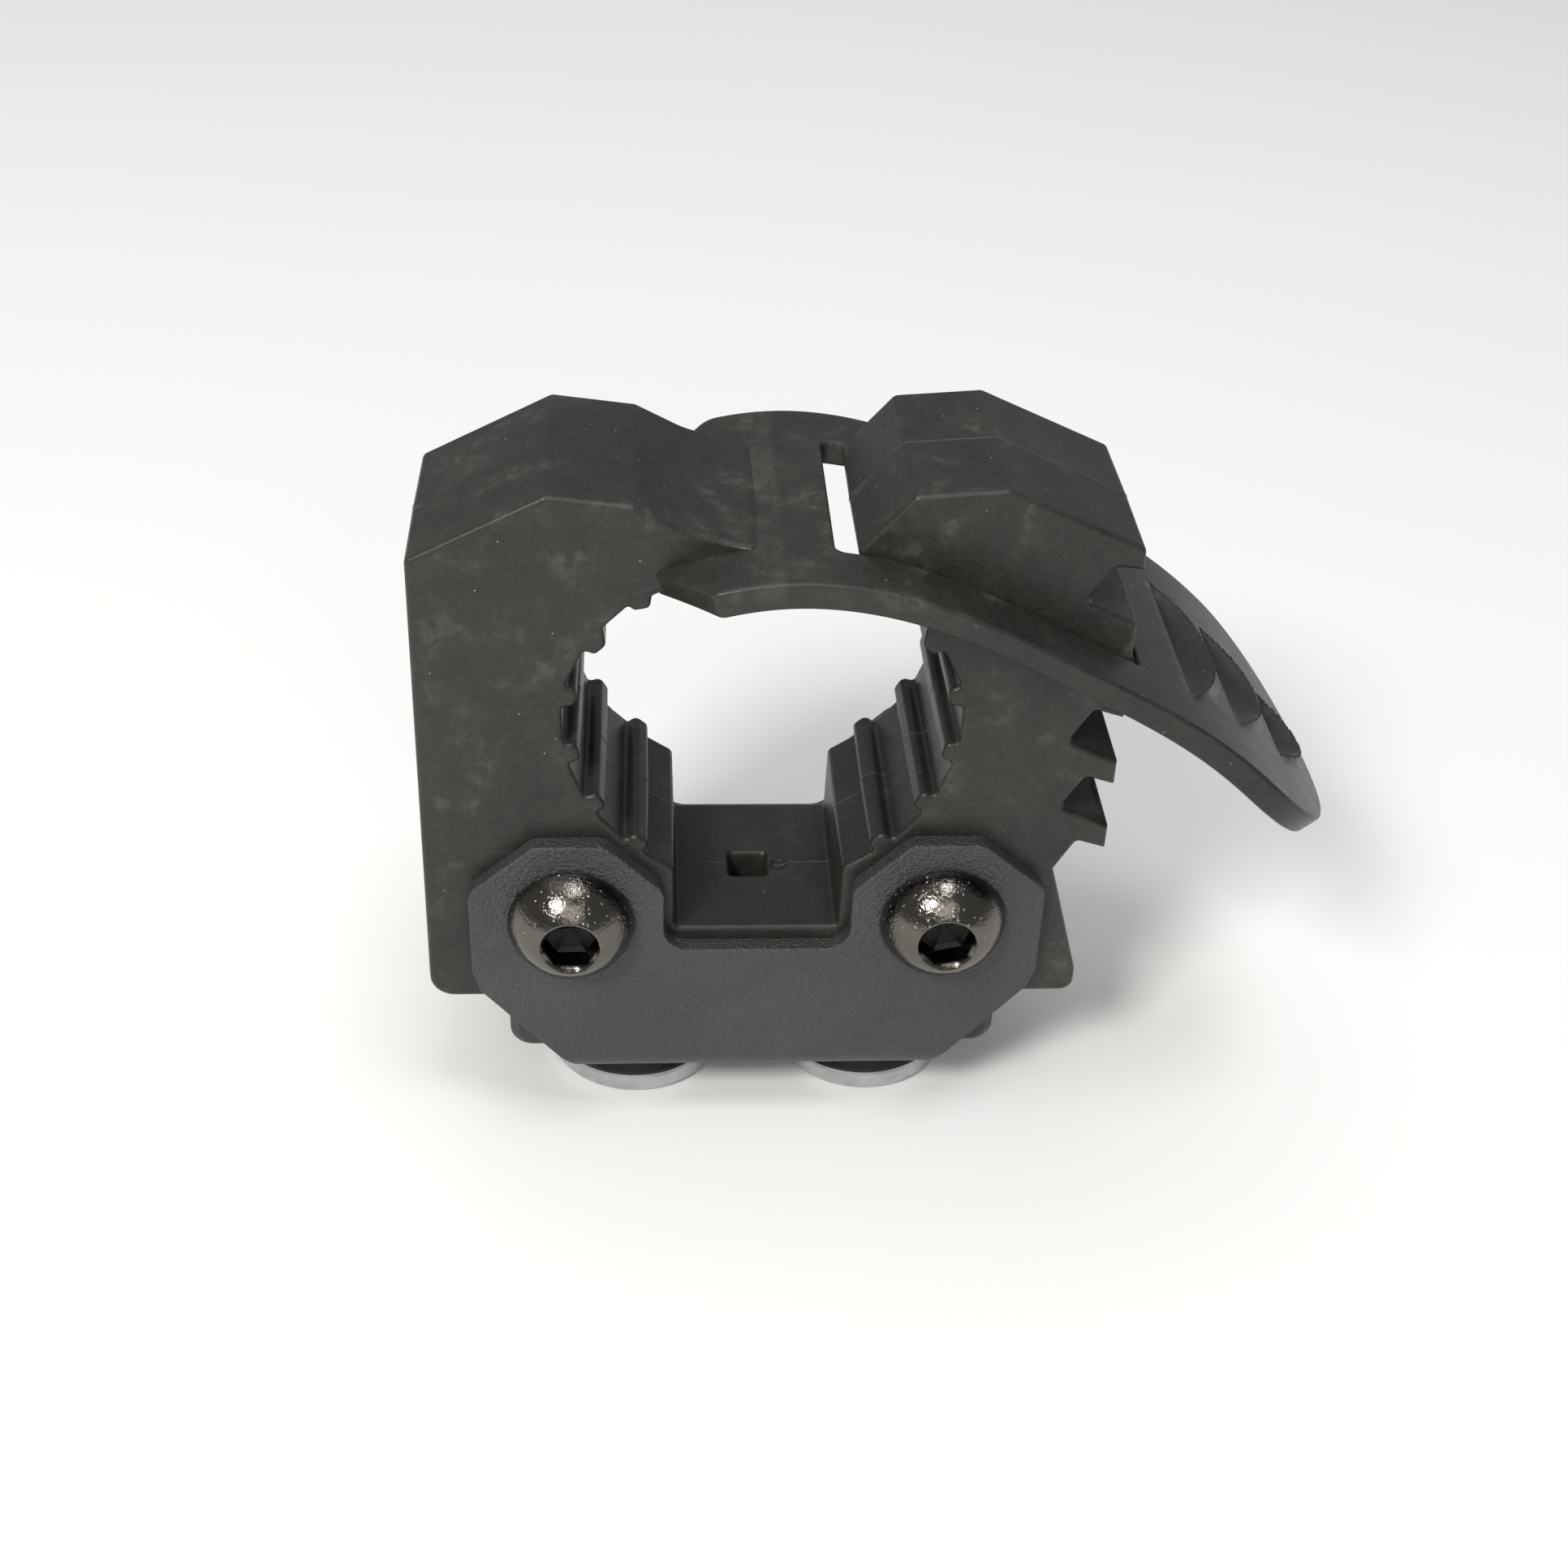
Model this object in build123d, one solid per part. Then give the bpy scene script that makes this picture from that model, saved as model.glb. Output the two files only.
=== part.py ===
"""Rubber tool clamp on a folded bracket for slotted cargo track, built as separate pieces.

Millimetres. X runs along the track, Y across it, Z up.
The origin is the centre of the bracket's underside, which rests on the track at Z = 0.
"""
import os
from math import atan2, cos, degrees, hypot, radians, sin

from build123d import *

# ---- rubber moulding -------------------------------------------------------------------------
body_width = 22.0
tool_radius = 19.4
jaw_thickness = 14.8
foot_bottom = 9.5
floor_thickness = 9.4
seat_height = 15.1
foot_round = 2.6
foot_side_rise = 3.0
rib_radius = 1.2
rib_inset = 0.2
rib_pitch_deg = 20.0
lowest_rib_deg = -50.0
ribs_per_jaw = 5
nose_drop = 6.4
notch_half_width = 8.3
floor_hole_side = 4.0
floor_hole_depth = 5.0
knuckle_margin = 4.2
knuckle_offset = 0.7
tooth_pitch = 7.95
tooth_depth = 5.05
tooth_tip_height = 3.1
tooth_drop = 8.1
tooth_overhang = 1.35
tooth_count = 4
split_gap = 0.3

# ---- strap -----------------------------------------------------------------------------------
strap_rail_width = 7.0
strap_thickness = 2.8
flare_corner_x = 5.4
flare_round = 1.6
window_left_gap = 2.3
window_side_gap = 0.35
window_bar_gap = 0.75
window_round = 1.2
strap_hinge_x = -0.2
grip_start = 5.45
tip_length = 15.2
grip_ridge_height = 1.0
grip_ridge_width = 1.8

# ---- bracket and fasteners -------------------------------------------------------------------
plate_thickness = 2.0
bend_radius = 1.0
web_half_length = 18.4
lobe_side = 10.35
lobe_rise = 9.4
lobe_flat = 3.6
lobe_chamfer = 5.7
notch_clearance = 1.3
notch_step = 1.6
lobe_drop = 6.7
shoulder_step = 0.8
shoulder_drop = 9.2
corner_round = 2.2
notch_round = 2.6
screw_spacing = 38.1
screw_height = 21.1
screw_radius = 4.0
screw_head_radius = 6.5
screw_head_height = 4.4
screw_crown = 0.35
screw_reach = 9.0
socket_across_flats = 5.0
socket_depth = 2.6
thread_clearance = 0.05
sleeve_radius = 6.0
spacer_overhang = 7.6
spacer_round = 2.4
stud_spacing = 25.4
stud_head_radius = 9.4
stud_head_thickness = 2.6
stud_neck_radius = 5.0
track_lip = 3.4
stud_radius = 4.0
stud_chamfer = 0.5
washer_radius = 8.0
washer_clearance = 0.6
washer_thickness = 1.2
nut_across_flats = 13.0
nut_height = 4.0
stud_recess = 0.3

# ---- derived ---------------------------------------------------------------------------------
half_width = body_width / 2
plate_outer = half_width + plate_thickness
strap_half_width = half_width + strap_rail_width
window_half = half_width + window_side_gap
jaw_outer = tool_radius + jaw_thickness
tool_centre_z = foot_bottom + seat_height + tool_radius
seat_top = tool_centre_z + tool_radius
nose_z = seat_top - nose_drop
notch_floor = foot_bottom + floor_thickness
rib_centre_radius = tool_radius - rib_inset
jaw_hinge_x = tool_radius + jaw_thickness / 2 + knuckle_offset
jaw_hinge_radius = jaw_thickness / 2 + knuckle_margin
tooth_tip_x = jaw_outer + tooth_overhang
tooth_root_x = tooth_tip_x - tooth_depth
head_foot_x = tool_radius - 10.9
window_left_x = head_foot_x - window_left_gap
flare_start_x = 8.5 - tool_radius
grip_hinge_x = tooth_tip_x + grip_start
tip_x = jaw_outer + 25.1
screw_x = screw_spacing / 2
stud_x = stud_spacing / 2
spacer_half_length = web_half_length + spacer_overhang
stud_hole_radius = stud_radius + thread_clearance
screw_hole_radius = screw_radius + thread_clearance
pocket_radius = washer_radius + washer_clearance
pocket_floor = foot_bottom - stud_recess - washer_thickness - nut_height - stud_chamfer

# Upper surface of the strap, from its root on the left jaw to the tip of the grip.
strap_line = [
    (flare_start_x, seat_top - 2.8),
    (-4.4, seat_top - 0.7),
    (2.6, seat_top + 0.2),
    (tool_radius - 6.4, seat_top - 1.4),
    (jaw_outer - 4.4, seat_top - 9.1),
    (jaw_outer + 8.8, seat_top - 16.8),
    (jaw_outer + 19.8, seat_top - 27.0),
    (tip_x, seat_top - 33.2),
]


def prism(face, half_length, middle=0.0):
    """Extrude a face drawn in X and Z to both sides of the plane Y = middle."""
    return Pos(0, middle, 0) * extrude(Plane.XZ * face, half_length, both=True)


def polygon(*points):
    """Closed face through the given X, Z points."""
    return make_face(Polyline(*points, close=True))


def rod(x, z, radius, y_from, y_to):
    """Cylinder along Y between two Y values."""
    return prism(Pos(x, z) * Circle(radius), (y_to - y_from) / 2, (y_to + y_from) / 2)


def strap_curve(drop):
    """Spline that runs a given distance under the strap's upper surface."""
    points = []
    for index, (x, z) in enumerate(strap_line):
        before = strap_line[max(index - 1, 0)]
        after = strap_line[min(index + 1, len(strap_line) - 1)]
        run = after[0] - before[0]
        rise = after[1] - before[1]
        length = hypot(run, rise)
        points.append((x + drop * rise / length, z - drop * run / length))
    return Spline(*points)


def strap_height(x):
    """Point and unit tangent of the strap's upper surface above a given X."""
    curve = strap_curve(0)
    low, high = 0.0, 1.0
    for _ in range(40):
        middle = (low + high) / 2
        if (curve @ middle).X < x:
            low = middle
        else:
            high = middle
    point = curve @ low
    tangent = curve % low
    return point.X, point.Y, tangent.X, tangent.Y


def strap_band():
    """Constant-thickness band of the strap, full width, before its outline is cut."""
    top = strap_curve(0)
    bottom = strap_curve(strap_thickness)
    edges = [top, bottom, Line(top @ 0, bottom @ 0), Line(top @ 1, bottom @ 1)]
    return prism(make_face(Wire(edges)), strap_half_width)


def mirrored(points):
    """Reflect X, Z points to the other side of X = 0."""
    return [(-x, z) for x, z in points]


def body_half():
    """Left half of the clamp's profile: foot, jaw and the root of the strap."""
    root_end = strap_hinge_x - split_gap / 2
    top = strap_height(root_end)[1]
    outline = polygon(
        (0, foot_bottom),
        (-jaw_outer, foot_bottom),
        (-jaw_outer, seat_top - 2.0),
        (-tool_radius - 1.1, seat_top + 5.1),
        (7.1 - tool_radius, seat_top + 4.1),
        (11.8 - tool_radius, seat_top + 1.5),
        (-4.0, seat_top + 0.4),
        (root_end, top),
        (root_end, top - strap_thickness),
        (-4.7, seat_top - strap_thickness - 0.5),
        (8.8 - tool_radius, seat_top - 5.5),
        (0, tool_centre_z),
    )
    corner = outline.vertices().sort_by_distance((-jaw_outer, foot_bottom))[0]
    return fillet(corner, foot_round)


def toothed_half():
    """Right half of the profile: foot, a rack of hooked teeth and the catch head."""
    points = [(0, foot_bottom), (jaw_outer, foot_bottom), (jaw_outer, foot_bottom + foot_side_rise)]
    for index in reversed(range(tooth_count)):
        top = seat_top - tooth_drop - index * tooth_pitch
        points.append((tooth_root_x, top + 2.35 - tooth_pitch))
        points.append((tooth_tip_x - tooth_tip_height, top + 1.0 - tooth_tip_height))
        points.append((tooth_tip_x, top - tooth_tip_height))
        points.append((tooth_tip_x, top))
    points.append((tooth_root_x, seat_top - tooth_drop + 2.35))
    head = [
        (jaw_outer - 1.4, seat_top - 2.2),
        (jaw_outer + 1.2, seat_top - 2.4),
        (jaw_outer + 1.0, seat_top - 0.1),
        (tool_radius + 2.5, seat_top + 6.1),
        (tool_radius - 5.8, seat_top + 5.3),
        (head_foot_x, seat_top - 0.6),
        (tool_radius - 8.8, seat_top - 5.5),
        (0, tool_centre_z),
    ]
    outline = polygon(*points, *head)
    corner = outline.vertices().sort_by_distance((jaw_outer, foot_bottom))[0]
    return fillet(corner, foot_round)


def moulding_profile():
    """Whole C-shaped profile of the clamp with its ribbed tool seat."""
    seat = Pos(0, tool_centre_z) * Circle(tool_radius)
    seat &= Pos(0, nose_z - 2 * tool_radius) * Rectangle(4 * tool_radius, 4 * tool_radius)
    notch_height = tool_centre_z - notch_floor
    notch = Pos(0, notch_floor + notch_height / 2) * Rectangle(2 * notch_half_width, notch_height)
    profile = body_half() + toothed_half() - seat - notch
    for side in (-1, 1):
        for index in range(ribs_per_jaw):
            angle = radians(lowest_rib_deg + index * rib_pitch_deg)
            x = side * rib_centre_radius * cos(angle)
            z = tool_centre_z + rib_centre_radius * sin(angle)
            profile += Pos(x, z) * Circle(rib_radius)
    return profile


def jaw_zone(side, growth):
    """Region that belongs to one jaw: a disc about its bending axis and all above it."""
    disc = Pos(side * jaw_hinge_x, tool_centre_z) * Circle(jaw_hinge_radius + growth)
    reach = jaw_outer + tooth_depth
    above = Pos(side * reach / 2, tool_centre_z + reach / 2) * Rectangle(reach, reach)
    return disc + above


def flare():
    """Plate where the strap widens from the jaw to its full width."""
    root_end = strap_hinge_x - split_gap / 2
    plan = make_face(
        Polyline(
            (flare_start_x, half_width),
            (-flare_corner_x, strap_half_width),
            (root_end, strap_half_width),
            (root_end, -strap_half_width),
            (-flare_corner_x, -strap_half_width),
            (flare_start_x, -half_width),
            close=True,
        )
    )
    corners = plan.vertices().filter_by_position(Axis.X, -flare_corner_x - 0.1, 0.1 - flare_corner_x)
    return strap_band() & extrude(fillet(corners, flare_round), 2 * seat_top)


def tip_cutter():
    """Prism whose outline is the strap's sides closed by a half-ellipse at the tip."""
    x, z, run, rise = strap_height(tip_x)
    plane = Plane(origin=(x, 0, z), x_dir=(run, 0, rise), z_dir=(-rise, 0, run))
    reach = 3 * jaw_outer
    oval = Pos(-tip_length, 0) * Ellipse(tip_length, strap_half_width)
    straight = Pos(-tip_length - reach / 2, 0) * Rectangle(reach, 2 * strap_half_width)
    return extrude(plane * (oval + straight), reach, both=True)


def window_cutter():
    """Window that lets the catch head through, ending at the bar beside the teeth."""
    bar_x = tooth_tip_x + window_bar_gap
    bar_top_x = bar_x + strap_thickness / 4
    face = polygon(
        (window_left_x, seat_top - 14),
        (window_left_x, seat_top + 7),
        (bar_top_x, seat_top + 7),
        (bar_top_x, seat_top - 12.4),
        (bar_x, seat_top - 16.4),
        (bar_x, seat_top - 24),
    )
    cutter = prism(face, window_half)
    corners = cutter.edges().filter_by(Axis.Z).sort_by(Axis.X)[0:2]
    return fillet(corners, window_round)


def grip_hinge():
    """Centre of the bend between strap and grip, half the thickness under the surface."""
    x, z, run, rise = strap_height(grip_hinge_x)
    return x + rise * strap_thickness / 2, z - run * strap_thickness / 2


def grip_zone(growth):
    """Everything beyond the grip's bending line, with a rounded knuckle."""
    run, rise = strap_height(grip_hinge_x)[2:]
    knuckle_x, knuckle_z = grip_hinge()
    angle = degrees(atan2(rise, run))
    reach = 2 * jaw_outer
    beyond = Pos(knuckle_x, knuckle_z) * Rot(0, 0, angle) * Pos(reach / 2, 0) * Rectangle(reach, reach)
    knuckle = Pos(knuckle_x, knuckle_z) * Circle(strap_thickness / 2 + growth)
    return prism(beyond + knuckle, 2 * strap_half_width)


def grip_ridge(from_tip, half_chord, radius):
    """Crescent ridge on the grip, bulging towards the tip."""
    x, z, run, rise = strap_height(tip_x - from_tip)
    plane = Plane(origin=(x, 0, z), x_dir=(run, 0, rise), z_dir=(-rise, 0, run))
    ring = Circle(radius) - Circle(radius - grip_ridge_width)
    sagitta = radius - (radius**2 - half_chord**2) ** 0.5
    keep = Pos(radius - sagitta / 2, 0) * Rectangle(sagitta, 3 * radius)
    crescent = Pos(-radius, 0) * (ring & keep)
    return extrude(plane * crescent, grip_ridge_height) + extrude(plane * crescent, -strap_thickness / 2)


def plate_outline():
    """Side plate of the bracket: two eight-sided lobes around the screws."""
    side_x = screw_x + lobe_side
    top_z = screw_height + lobe_rise
    notch_x = notch_half_width + notch_clearance
    floor_z = notch_floor - notch_step
    right = [
        (notch_x, floor_z),
        (notch_x, top_z - lobe_chamfer),
        (screw_x - lobe_flat, top_z),
        (screw_x + lobe_flat, top_z),
        (side_x, top_z - lobe_chamfer),
        (side_x, screw_height - lobe_drop),
        (side_x - shoulder_step, screw_height - shoulder_drop),
        (web_half_length, 0),
    ]
    face = polygon(*right, *reversed(mirrored(right)))
    inner = face.vertices().filter_by_position(Axis.Y, floor_z - 0.1, floor_z + 0.1)
    face = fillet(inner, notch_round)
    outer = face.vertices().filter_by_position(Axis.Y, foot_bottom, floor_z - 0.1)
    outer += face.vertices().filter_by_position(Axis.Y, top_z - lobe_chamfer - 0.1, top_z + 1)
    return fillet(outer, corner_round)


def bracket():
    """One folded strip: web on the track, bends and two side plates."""
    height = screw_height + lobe_rise
    length = 3 * screw_spacing
    outside = Pos(0, 0, height / 2) * Box(length, 2 * plate_outer, height)
    low_edges = outside.edges().filter_by(Axis.X).sort_by(Axis.Z)[0:2]
    outside = fillet(low_edges, bend_radius + plate_thickness)
    inside = Pos(0, 0, plate_thickness + height / 2) * Box(length, body_width, height)
    low_edges = inside.edges().filter_by(Axis.X).sort_by(Axis.Z)[0:2]
    inside = fillet(low_edges, bend_radius)
    folded = (outside - inside) & prism(plate_outline(), 2 * plate_outer)
    for side in (-1, 1):
        folded -= rod(side * screw_x, screw_height, screw_hole_radius, -2 * plate_outer, 2 * plate_outer)
        folded -= Pos(side * stud_x, 0, 0) * Cylinder(stud_hole_radius, 3 * plate_thickness)
    return folded


def spacer():
    """Block between the web and the rubber, pocketed for the stud nuts."""
    height = foot_bottom - plate_thickness
    face = Pos(0, plate_thickness + height / 2) * Rectangle(2 * spacer_half_length, height)
    corners = face.vertices().sort_by(Axis.Y)[0:2]
    block = prism(fillet(corners, spacer_round), half_width)
    inner_bends = block.edges().filter_by(Axis.X).sort_by(Axis.Z)[0:2]
    block = chamfer(inner_bends, bend_radius)
    depth = foot_bottom - pocket_floor
    for side in (-1, 1):
        block -= Pos(side * stud_x, 0, foot_bottom - depth / 2) * Cylinder(pocket_radius, depth)
        block -= Pos(side * stud_x, 0, 0) * Cylinder(stud_hole_radius, 4 * foot_bottom)
    return block


def track_stud(x):
    """Tee-headed stud: head under the track's lips, neck in its slot, thread up."""
    head_z = -track_lip - stud_head_thickness / 2
    stud = Pos(x, 0, head_z) * Cylinder(stud_head_radius, stud_head_thickness)
    stud = chamfer(stud.edges().sort_by(Axis.Z)[0], stud_chamfer)
    stud += Pos(x, 0, -track_lip / 2) * Cylinder(stud_neck_radius, track_lip)
    thread_top = foot_bottom - stud_recess
    stud += Pos(x, 0, thread_top / 2) * Cylinder(stud_radius, thread_top)
    return chamfer(stud.edges().sort_by(Axis.Z)[-1], stud_chamfer)


def stud_washer(x):
    """Flat washer under the stud nut."""
    ring = Circle(washer_radius) - Circle(stud_hole_radius)
    return Pos(x, 0, pocket_floor) * extrude(ring, washer_thickness)


def stud_nut(x):
    """Thin hex nut in the spacer's pocket."""
    hexagon = RegularPolygon(nut_across_flats / 2, 6, major_radius=False)
    ring = hexagon - Circle(stud_hole_radius)
    return Pos(x, 0, pocket_floor + washer_thickness) * extrude(ring, nut_height)


def button_screw(x, side):
    """Button-head screw with a hex socket; side is -1 at the front and 1 at the back."""
    dome_radius = (screw_head_radius**2 + screw_head_height**2) / (2 * screw_head_height)
    cap = Cylinder(screw_head_radius, screw_head_height)
    cap &= Pos(0, 0, screw_head_height / 2 - dome_radius) * Sphere(dome_radius + screw_crown)
    recess = extrude(RegularPolygon(socket_across_flats / 2, 6, major_radius=False), screw_head_height)
    cap -= Pos(0, 0, screw_head_height / 2 - socket_depth) * recess
    shank = plate_thickness + screw_reach
    cap += Pos(0, 0, -screw_head_height / 2 - shank / 2) * Cylinder(screw_radius, shank)
    out_y = side * (plate_outer + screw_head_height / 2)
    return Pos(x, out_y, screw_height) * Rot(-90 * side, 0, 0) * cap


def threaded_sleeve(x):
    """Internally threaded sleeve that spaces the plates and carries both screws."""
    tube = rod(x, screw_height, sleeve_radius, -half_width, half_width)
    return tube - rod(x, screw_height, screw_hole_radius, -half_width, half_width)


def clamp_base(profile):
    """Foot of the moulding between the plates, holding the two sleeves."""
    base = profile
    for side in (-1, 1):
        base -= jaw_zone(side, split_gap / 2)
        base -= Pos(side * screw_x, screw_height) * Circle(sleeve_radius)
    solid = prism(base, half_width)
    hole = Box(floor_hole_side, floor_hole_side, 2 * floor_hole_depth)
    return solid - Pos(0, 0, notch_floor) * hole


def main():
    """Build every piece and write it to the parts folder."""
    os.makedirs("parts", exist_ok=True)
    profile = moulding_profile()
    reach = 4 * jaw_outer
    right_of_root = Pos(strap_hinge_x + split_gap / 2 + reach / 2, 0, 0) * Box(reach, reach, reach)
    band = (strap_band() & tip_cutter() & right_of_root) - window_cutter()
    grip = band & grip_zone(0)
    for from_tip, half_chord, radius in ((14.4, 11.0, 15.5), (8.8, 9.0, 10.5), (3.2, 6.2, 7.0)):
        grip += grip_ridge(from_tip, half_chord, radius)

    pieces = {
        "bracket": bracket(),
        "spacer_block": spacer(),
        "clamp_base": clamp_base(profile),
        "left_jaw": prism(profile & jaw_zone(-1, -split_gap / 2), half_width) + flare(),
        "right_jaw": prism(profile & jaw_zone(1, -split_gap / 2), half_width),
        "strap": band - grip_zone(split_gap),
        "strap_grip": grip,
    }
    for name, side in (("left", -1), ("right", 1)):
        pieces["clamp_screw_front_" + name] = button_screw(side * screw_x, -1)
        pieces["clamp_screw_back_" + name] = button_screw(side * screw_x, 1)
        pieces["threaded_sleeve_" + name] = threaded_sleeve(side * screw_x)
        pieces["track_stud_" + name] = track_stud(side * stud_x)
        pieces["stud_washer_" + name] = stud_washer(side * stud_x)
        pieces["stud_nut_" + name] = stud_nut(side * stud_x)
    for name, shape in pieces.items():
        export_step(shape, "parts/" + name + ".step")


if __name__ == "__main__":
    main()
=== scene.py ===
"""Looks of a rubber tool clamp on a folded bracket for slotted cargo track.

Sizes in the classes are millimetres; meshes are made in metres in the row frame:
X along the track, Y across it, Z up, with the bracket's underside at Z = 0.
"""
import logging
import math
from dataclasses import dataclass, field
from enum import Enum
from typing import Callable, Iterable, Sequence

import bmesh
import bpy
from mathutils import Matrix, Vector


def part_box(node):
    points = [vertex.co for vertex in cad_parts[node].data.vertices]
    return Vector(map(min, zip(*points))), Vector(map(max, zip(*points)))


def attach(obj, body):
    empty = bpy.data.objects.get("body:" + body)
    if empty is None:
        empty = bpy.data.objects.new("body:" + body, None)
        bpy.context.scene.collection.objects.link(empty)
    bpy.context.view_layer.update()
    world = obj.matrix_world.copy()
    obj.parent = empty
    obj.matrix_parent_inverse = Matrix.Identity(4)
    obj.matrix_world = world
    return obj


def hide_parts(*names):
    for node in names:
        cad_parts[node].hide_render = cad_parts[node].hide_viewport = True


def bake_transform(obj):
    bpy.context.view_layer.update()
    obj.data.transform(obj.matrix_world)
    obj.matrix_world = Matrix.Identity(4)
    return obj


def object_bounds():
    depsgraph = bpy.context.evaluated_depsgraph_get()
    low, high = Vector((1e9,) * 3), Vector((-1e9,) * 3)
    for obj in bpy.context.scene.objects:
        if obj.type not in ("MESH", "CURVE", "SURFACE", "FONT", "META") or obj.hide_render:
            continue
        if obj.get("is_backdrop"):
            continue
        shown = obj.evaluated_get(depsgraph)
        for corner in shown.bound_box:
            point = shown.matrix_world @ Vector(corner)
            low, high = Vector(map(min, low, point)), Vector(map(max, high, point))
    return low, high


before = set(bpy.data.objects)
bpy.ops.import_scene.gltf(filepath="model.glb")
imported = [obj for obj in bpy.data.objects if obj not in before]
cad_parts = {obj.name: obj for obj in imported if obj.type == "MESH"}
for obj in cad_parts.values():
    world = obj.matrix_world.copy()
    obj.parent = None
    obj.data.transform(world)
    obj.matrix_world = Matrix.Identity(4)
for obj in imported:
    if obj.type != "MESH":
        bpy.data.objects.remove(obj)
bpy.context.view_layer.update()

LOG = logging.getLogger("clamp")
MM = 0.001
WELD = 1e-7  # points closer than this are one, in metres
FLAT = 1e-4  # points this near a flat face are on it, in millimetres
Point = tuple[float, float]


# ---- outlines and meshes ---------------------------------------------------------------------


@dataclass(frozen=True)
class Corner:
    """A corner of a closed outline.

    Args:
        x: first coordinate.
        z: second coordinate.
        radius: radius the corner is rounded to.
    """

    x: float
    z: float
    radius: float = 0.0


class Contour:
    """Closed outline of rounded corners, with the material on its left."""

    STEP = math.radians(13)
    SHORTEST_REACH = 0.06
    SIDE_SHARE = 0.47

    def __init__(self, corners: Sequence[Corner]) -> None:
        """Keep the corners and count the arc steps of each.

        Args:
            corners: the corners in order, anticlockwise for a solid and clockwise for a hole.
        """
        self.points = [Vector((c.x, c.z)) for c in corners]
        self.radii = [c.radius for c in corners]
        self.steps = []
        for index, radius in enumerate(self.radii):
            turn = abs(self._turn(self.points, index))
            self.steps.append(max(2, math.ceil(turn / self.STEP)) if radius > 0 else 0)

    @staticmethod
    def _sides(points: Sequence[Vector], index: int) -> tuple[Vector, Vector]:
        """Unit directions into and out of a corner.

        Args:
            points: corners of the outline.
            index: which corner.

        Returns:
            The direction into the corner and the one out of it.
        """
        here = points[index]
        before = points[index - 1]
        after = points[(index + 1) % len(points)]
        return (here - before).normalized(), (after - here).normalized()

    def _turn(self, points: Sequence[Vector], index: int) -> float:
        """Signed turning angle at a corner, positive to the left."""
        into, out = self._sides(points, index)
        return math.atan2(into.x * out.y - into.y * out.x, into.dot(out))

    def shrunk(self, inset: float) -> list[Vector]:
        """Outline moved towards its material, with the same number of points.

        Args:
            inset: distance the outline moves, in millimetres.

        Returns:
            The points of the moved outline.
        """
        moved = []
        for index, point in enumerate(self.points):
            into, out = self._sides(self.points, index)
            first = Vector((-into.y, into.x))
            second = Vector((-out.y, out.x))
            mitre = (first + second) / max(0.3, 1 + first.dot(second))
            moved.append(point + inset * mitre)
        outline = []
        for index, point in enumerate(moved):
            outline.extend(self._rounded(moved, index, point, inset))
        return outline

    def _rounded(
        self, points: Sequence[Vector], index: int, point: Vector, inset: float
    ) -> list[Vector]:
        """Points of one rounded corner of a moved outline.

        Args:
            points: corners of the moved outline.
            index: which corner.
            point: where it is.
            inset: how far the outline has moved.

        Returns:
            One point for a plain corner, or the points of its arc.
        """
        if not self.steps[index]:
            return [point]
        into, out = self._sides(points, index)
        turn = self._turn(points, index)
        if abs(turn) < 0.02:
            return [point] * (self.steps[index] + 1)
        grown = self.radii[index] - math.copysign(inset, turn)
        reach = max(grown, self.SHORTEST_REACH) * math.tan(abs(turn) / 2)
        before = (point - points[index - 1]).length
        after = (points[(index + 1) % len(points)] - point).length
        reach = min(reach, self.SIDE_SHARE * before, self.SIDE_SHARE * after)
        radius = reach / math.tan(abs(turn) / 2)
        start = point - into * reach
        side = Vector((-into.y, into.x)) * math.copysign(radius, turn)
        centre = start + side
        arc = []
        for step in range(self.steps[index] + 1):
            spin = Matrix.Rotation(turn * step / self.steps[index], 2)
            arc.append(centre - spin @ side)
        return arc


@dataclass(frozen=True)
class Level:
    """One loop of a lofted solid.

    Args:
        depth: where it lies along the loft.
        inset: how far its outline is moved towards the material.
    """

    depth: float
    inset: float


def rounded_levels(low: float, high: float, radius: float, draft: float, steps: int) -> list[Level]:
    """Loops of a loft whose two end faces have rounded edges.

    Args:
        low: where the loft starts.
        high: where it ends.
        radius: radius of the edges.
        draft: how much the outline has shrunk where the rounding starts.
        steps: loops in each rounding.

    Returns:
        The loops from low to high.
    """
    upper = []
    for step in range(steps + 1):
        angle = math.pi / 2 * step / steps
        depth = high - radius + radius * math.sin(angle)
        upper.append(Level(depth, draft + radius * (1 - math.cos(angle))))
    lower = [Level(low + high - level.depth, level.inset) for level in reversed(upper)]
    return lower + upper


def closed_mesh(work: bmesh.types.BMesh) -> bmesh.types.BMesh:
    """Merge doubled points and turn every face outwards.

    Args:
        work: the mesh, which is changed.

    Returns:
        The same mesh.
    """
    bmesh.ops.remove_doubles(work, verts=work.verts, dist=WELD)
    bmesh.ops.recalc_face_normals(work, faces=work.faces)
    return work


def add_wall(
    work: bmesh.types.BMesh, loops: Sequence[Sequence[Vector]]
) -> tuple[list[bmesh.types.BMEdge], list[bmesh.types.BMEdge]]:
    """Add the side wall through a row of matching closed loops.

    Args:
        work: mesh that gets the wall.
        loops: loops of points in space, each with the same number of points.

    Returns:
        The edges of the first loop and of the last one.
    """
    rings = [[work.verts.new(point) for point in loop] for loop in loops]
    count = len(rings[0])
    for here, there in zip(rings, rings[1:]):
        for index in range(count):
            after = (index + 1) % count
            work.faces.new((here[index], here[after], there[after], there[index]))
    ends = []
    for ring in (rings[0], rings[-1]):
        ends.append([work.edges.get((ring[i - 1], ring[i])) for i in range(count)])
    return ends[0], ends[1]


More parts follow.
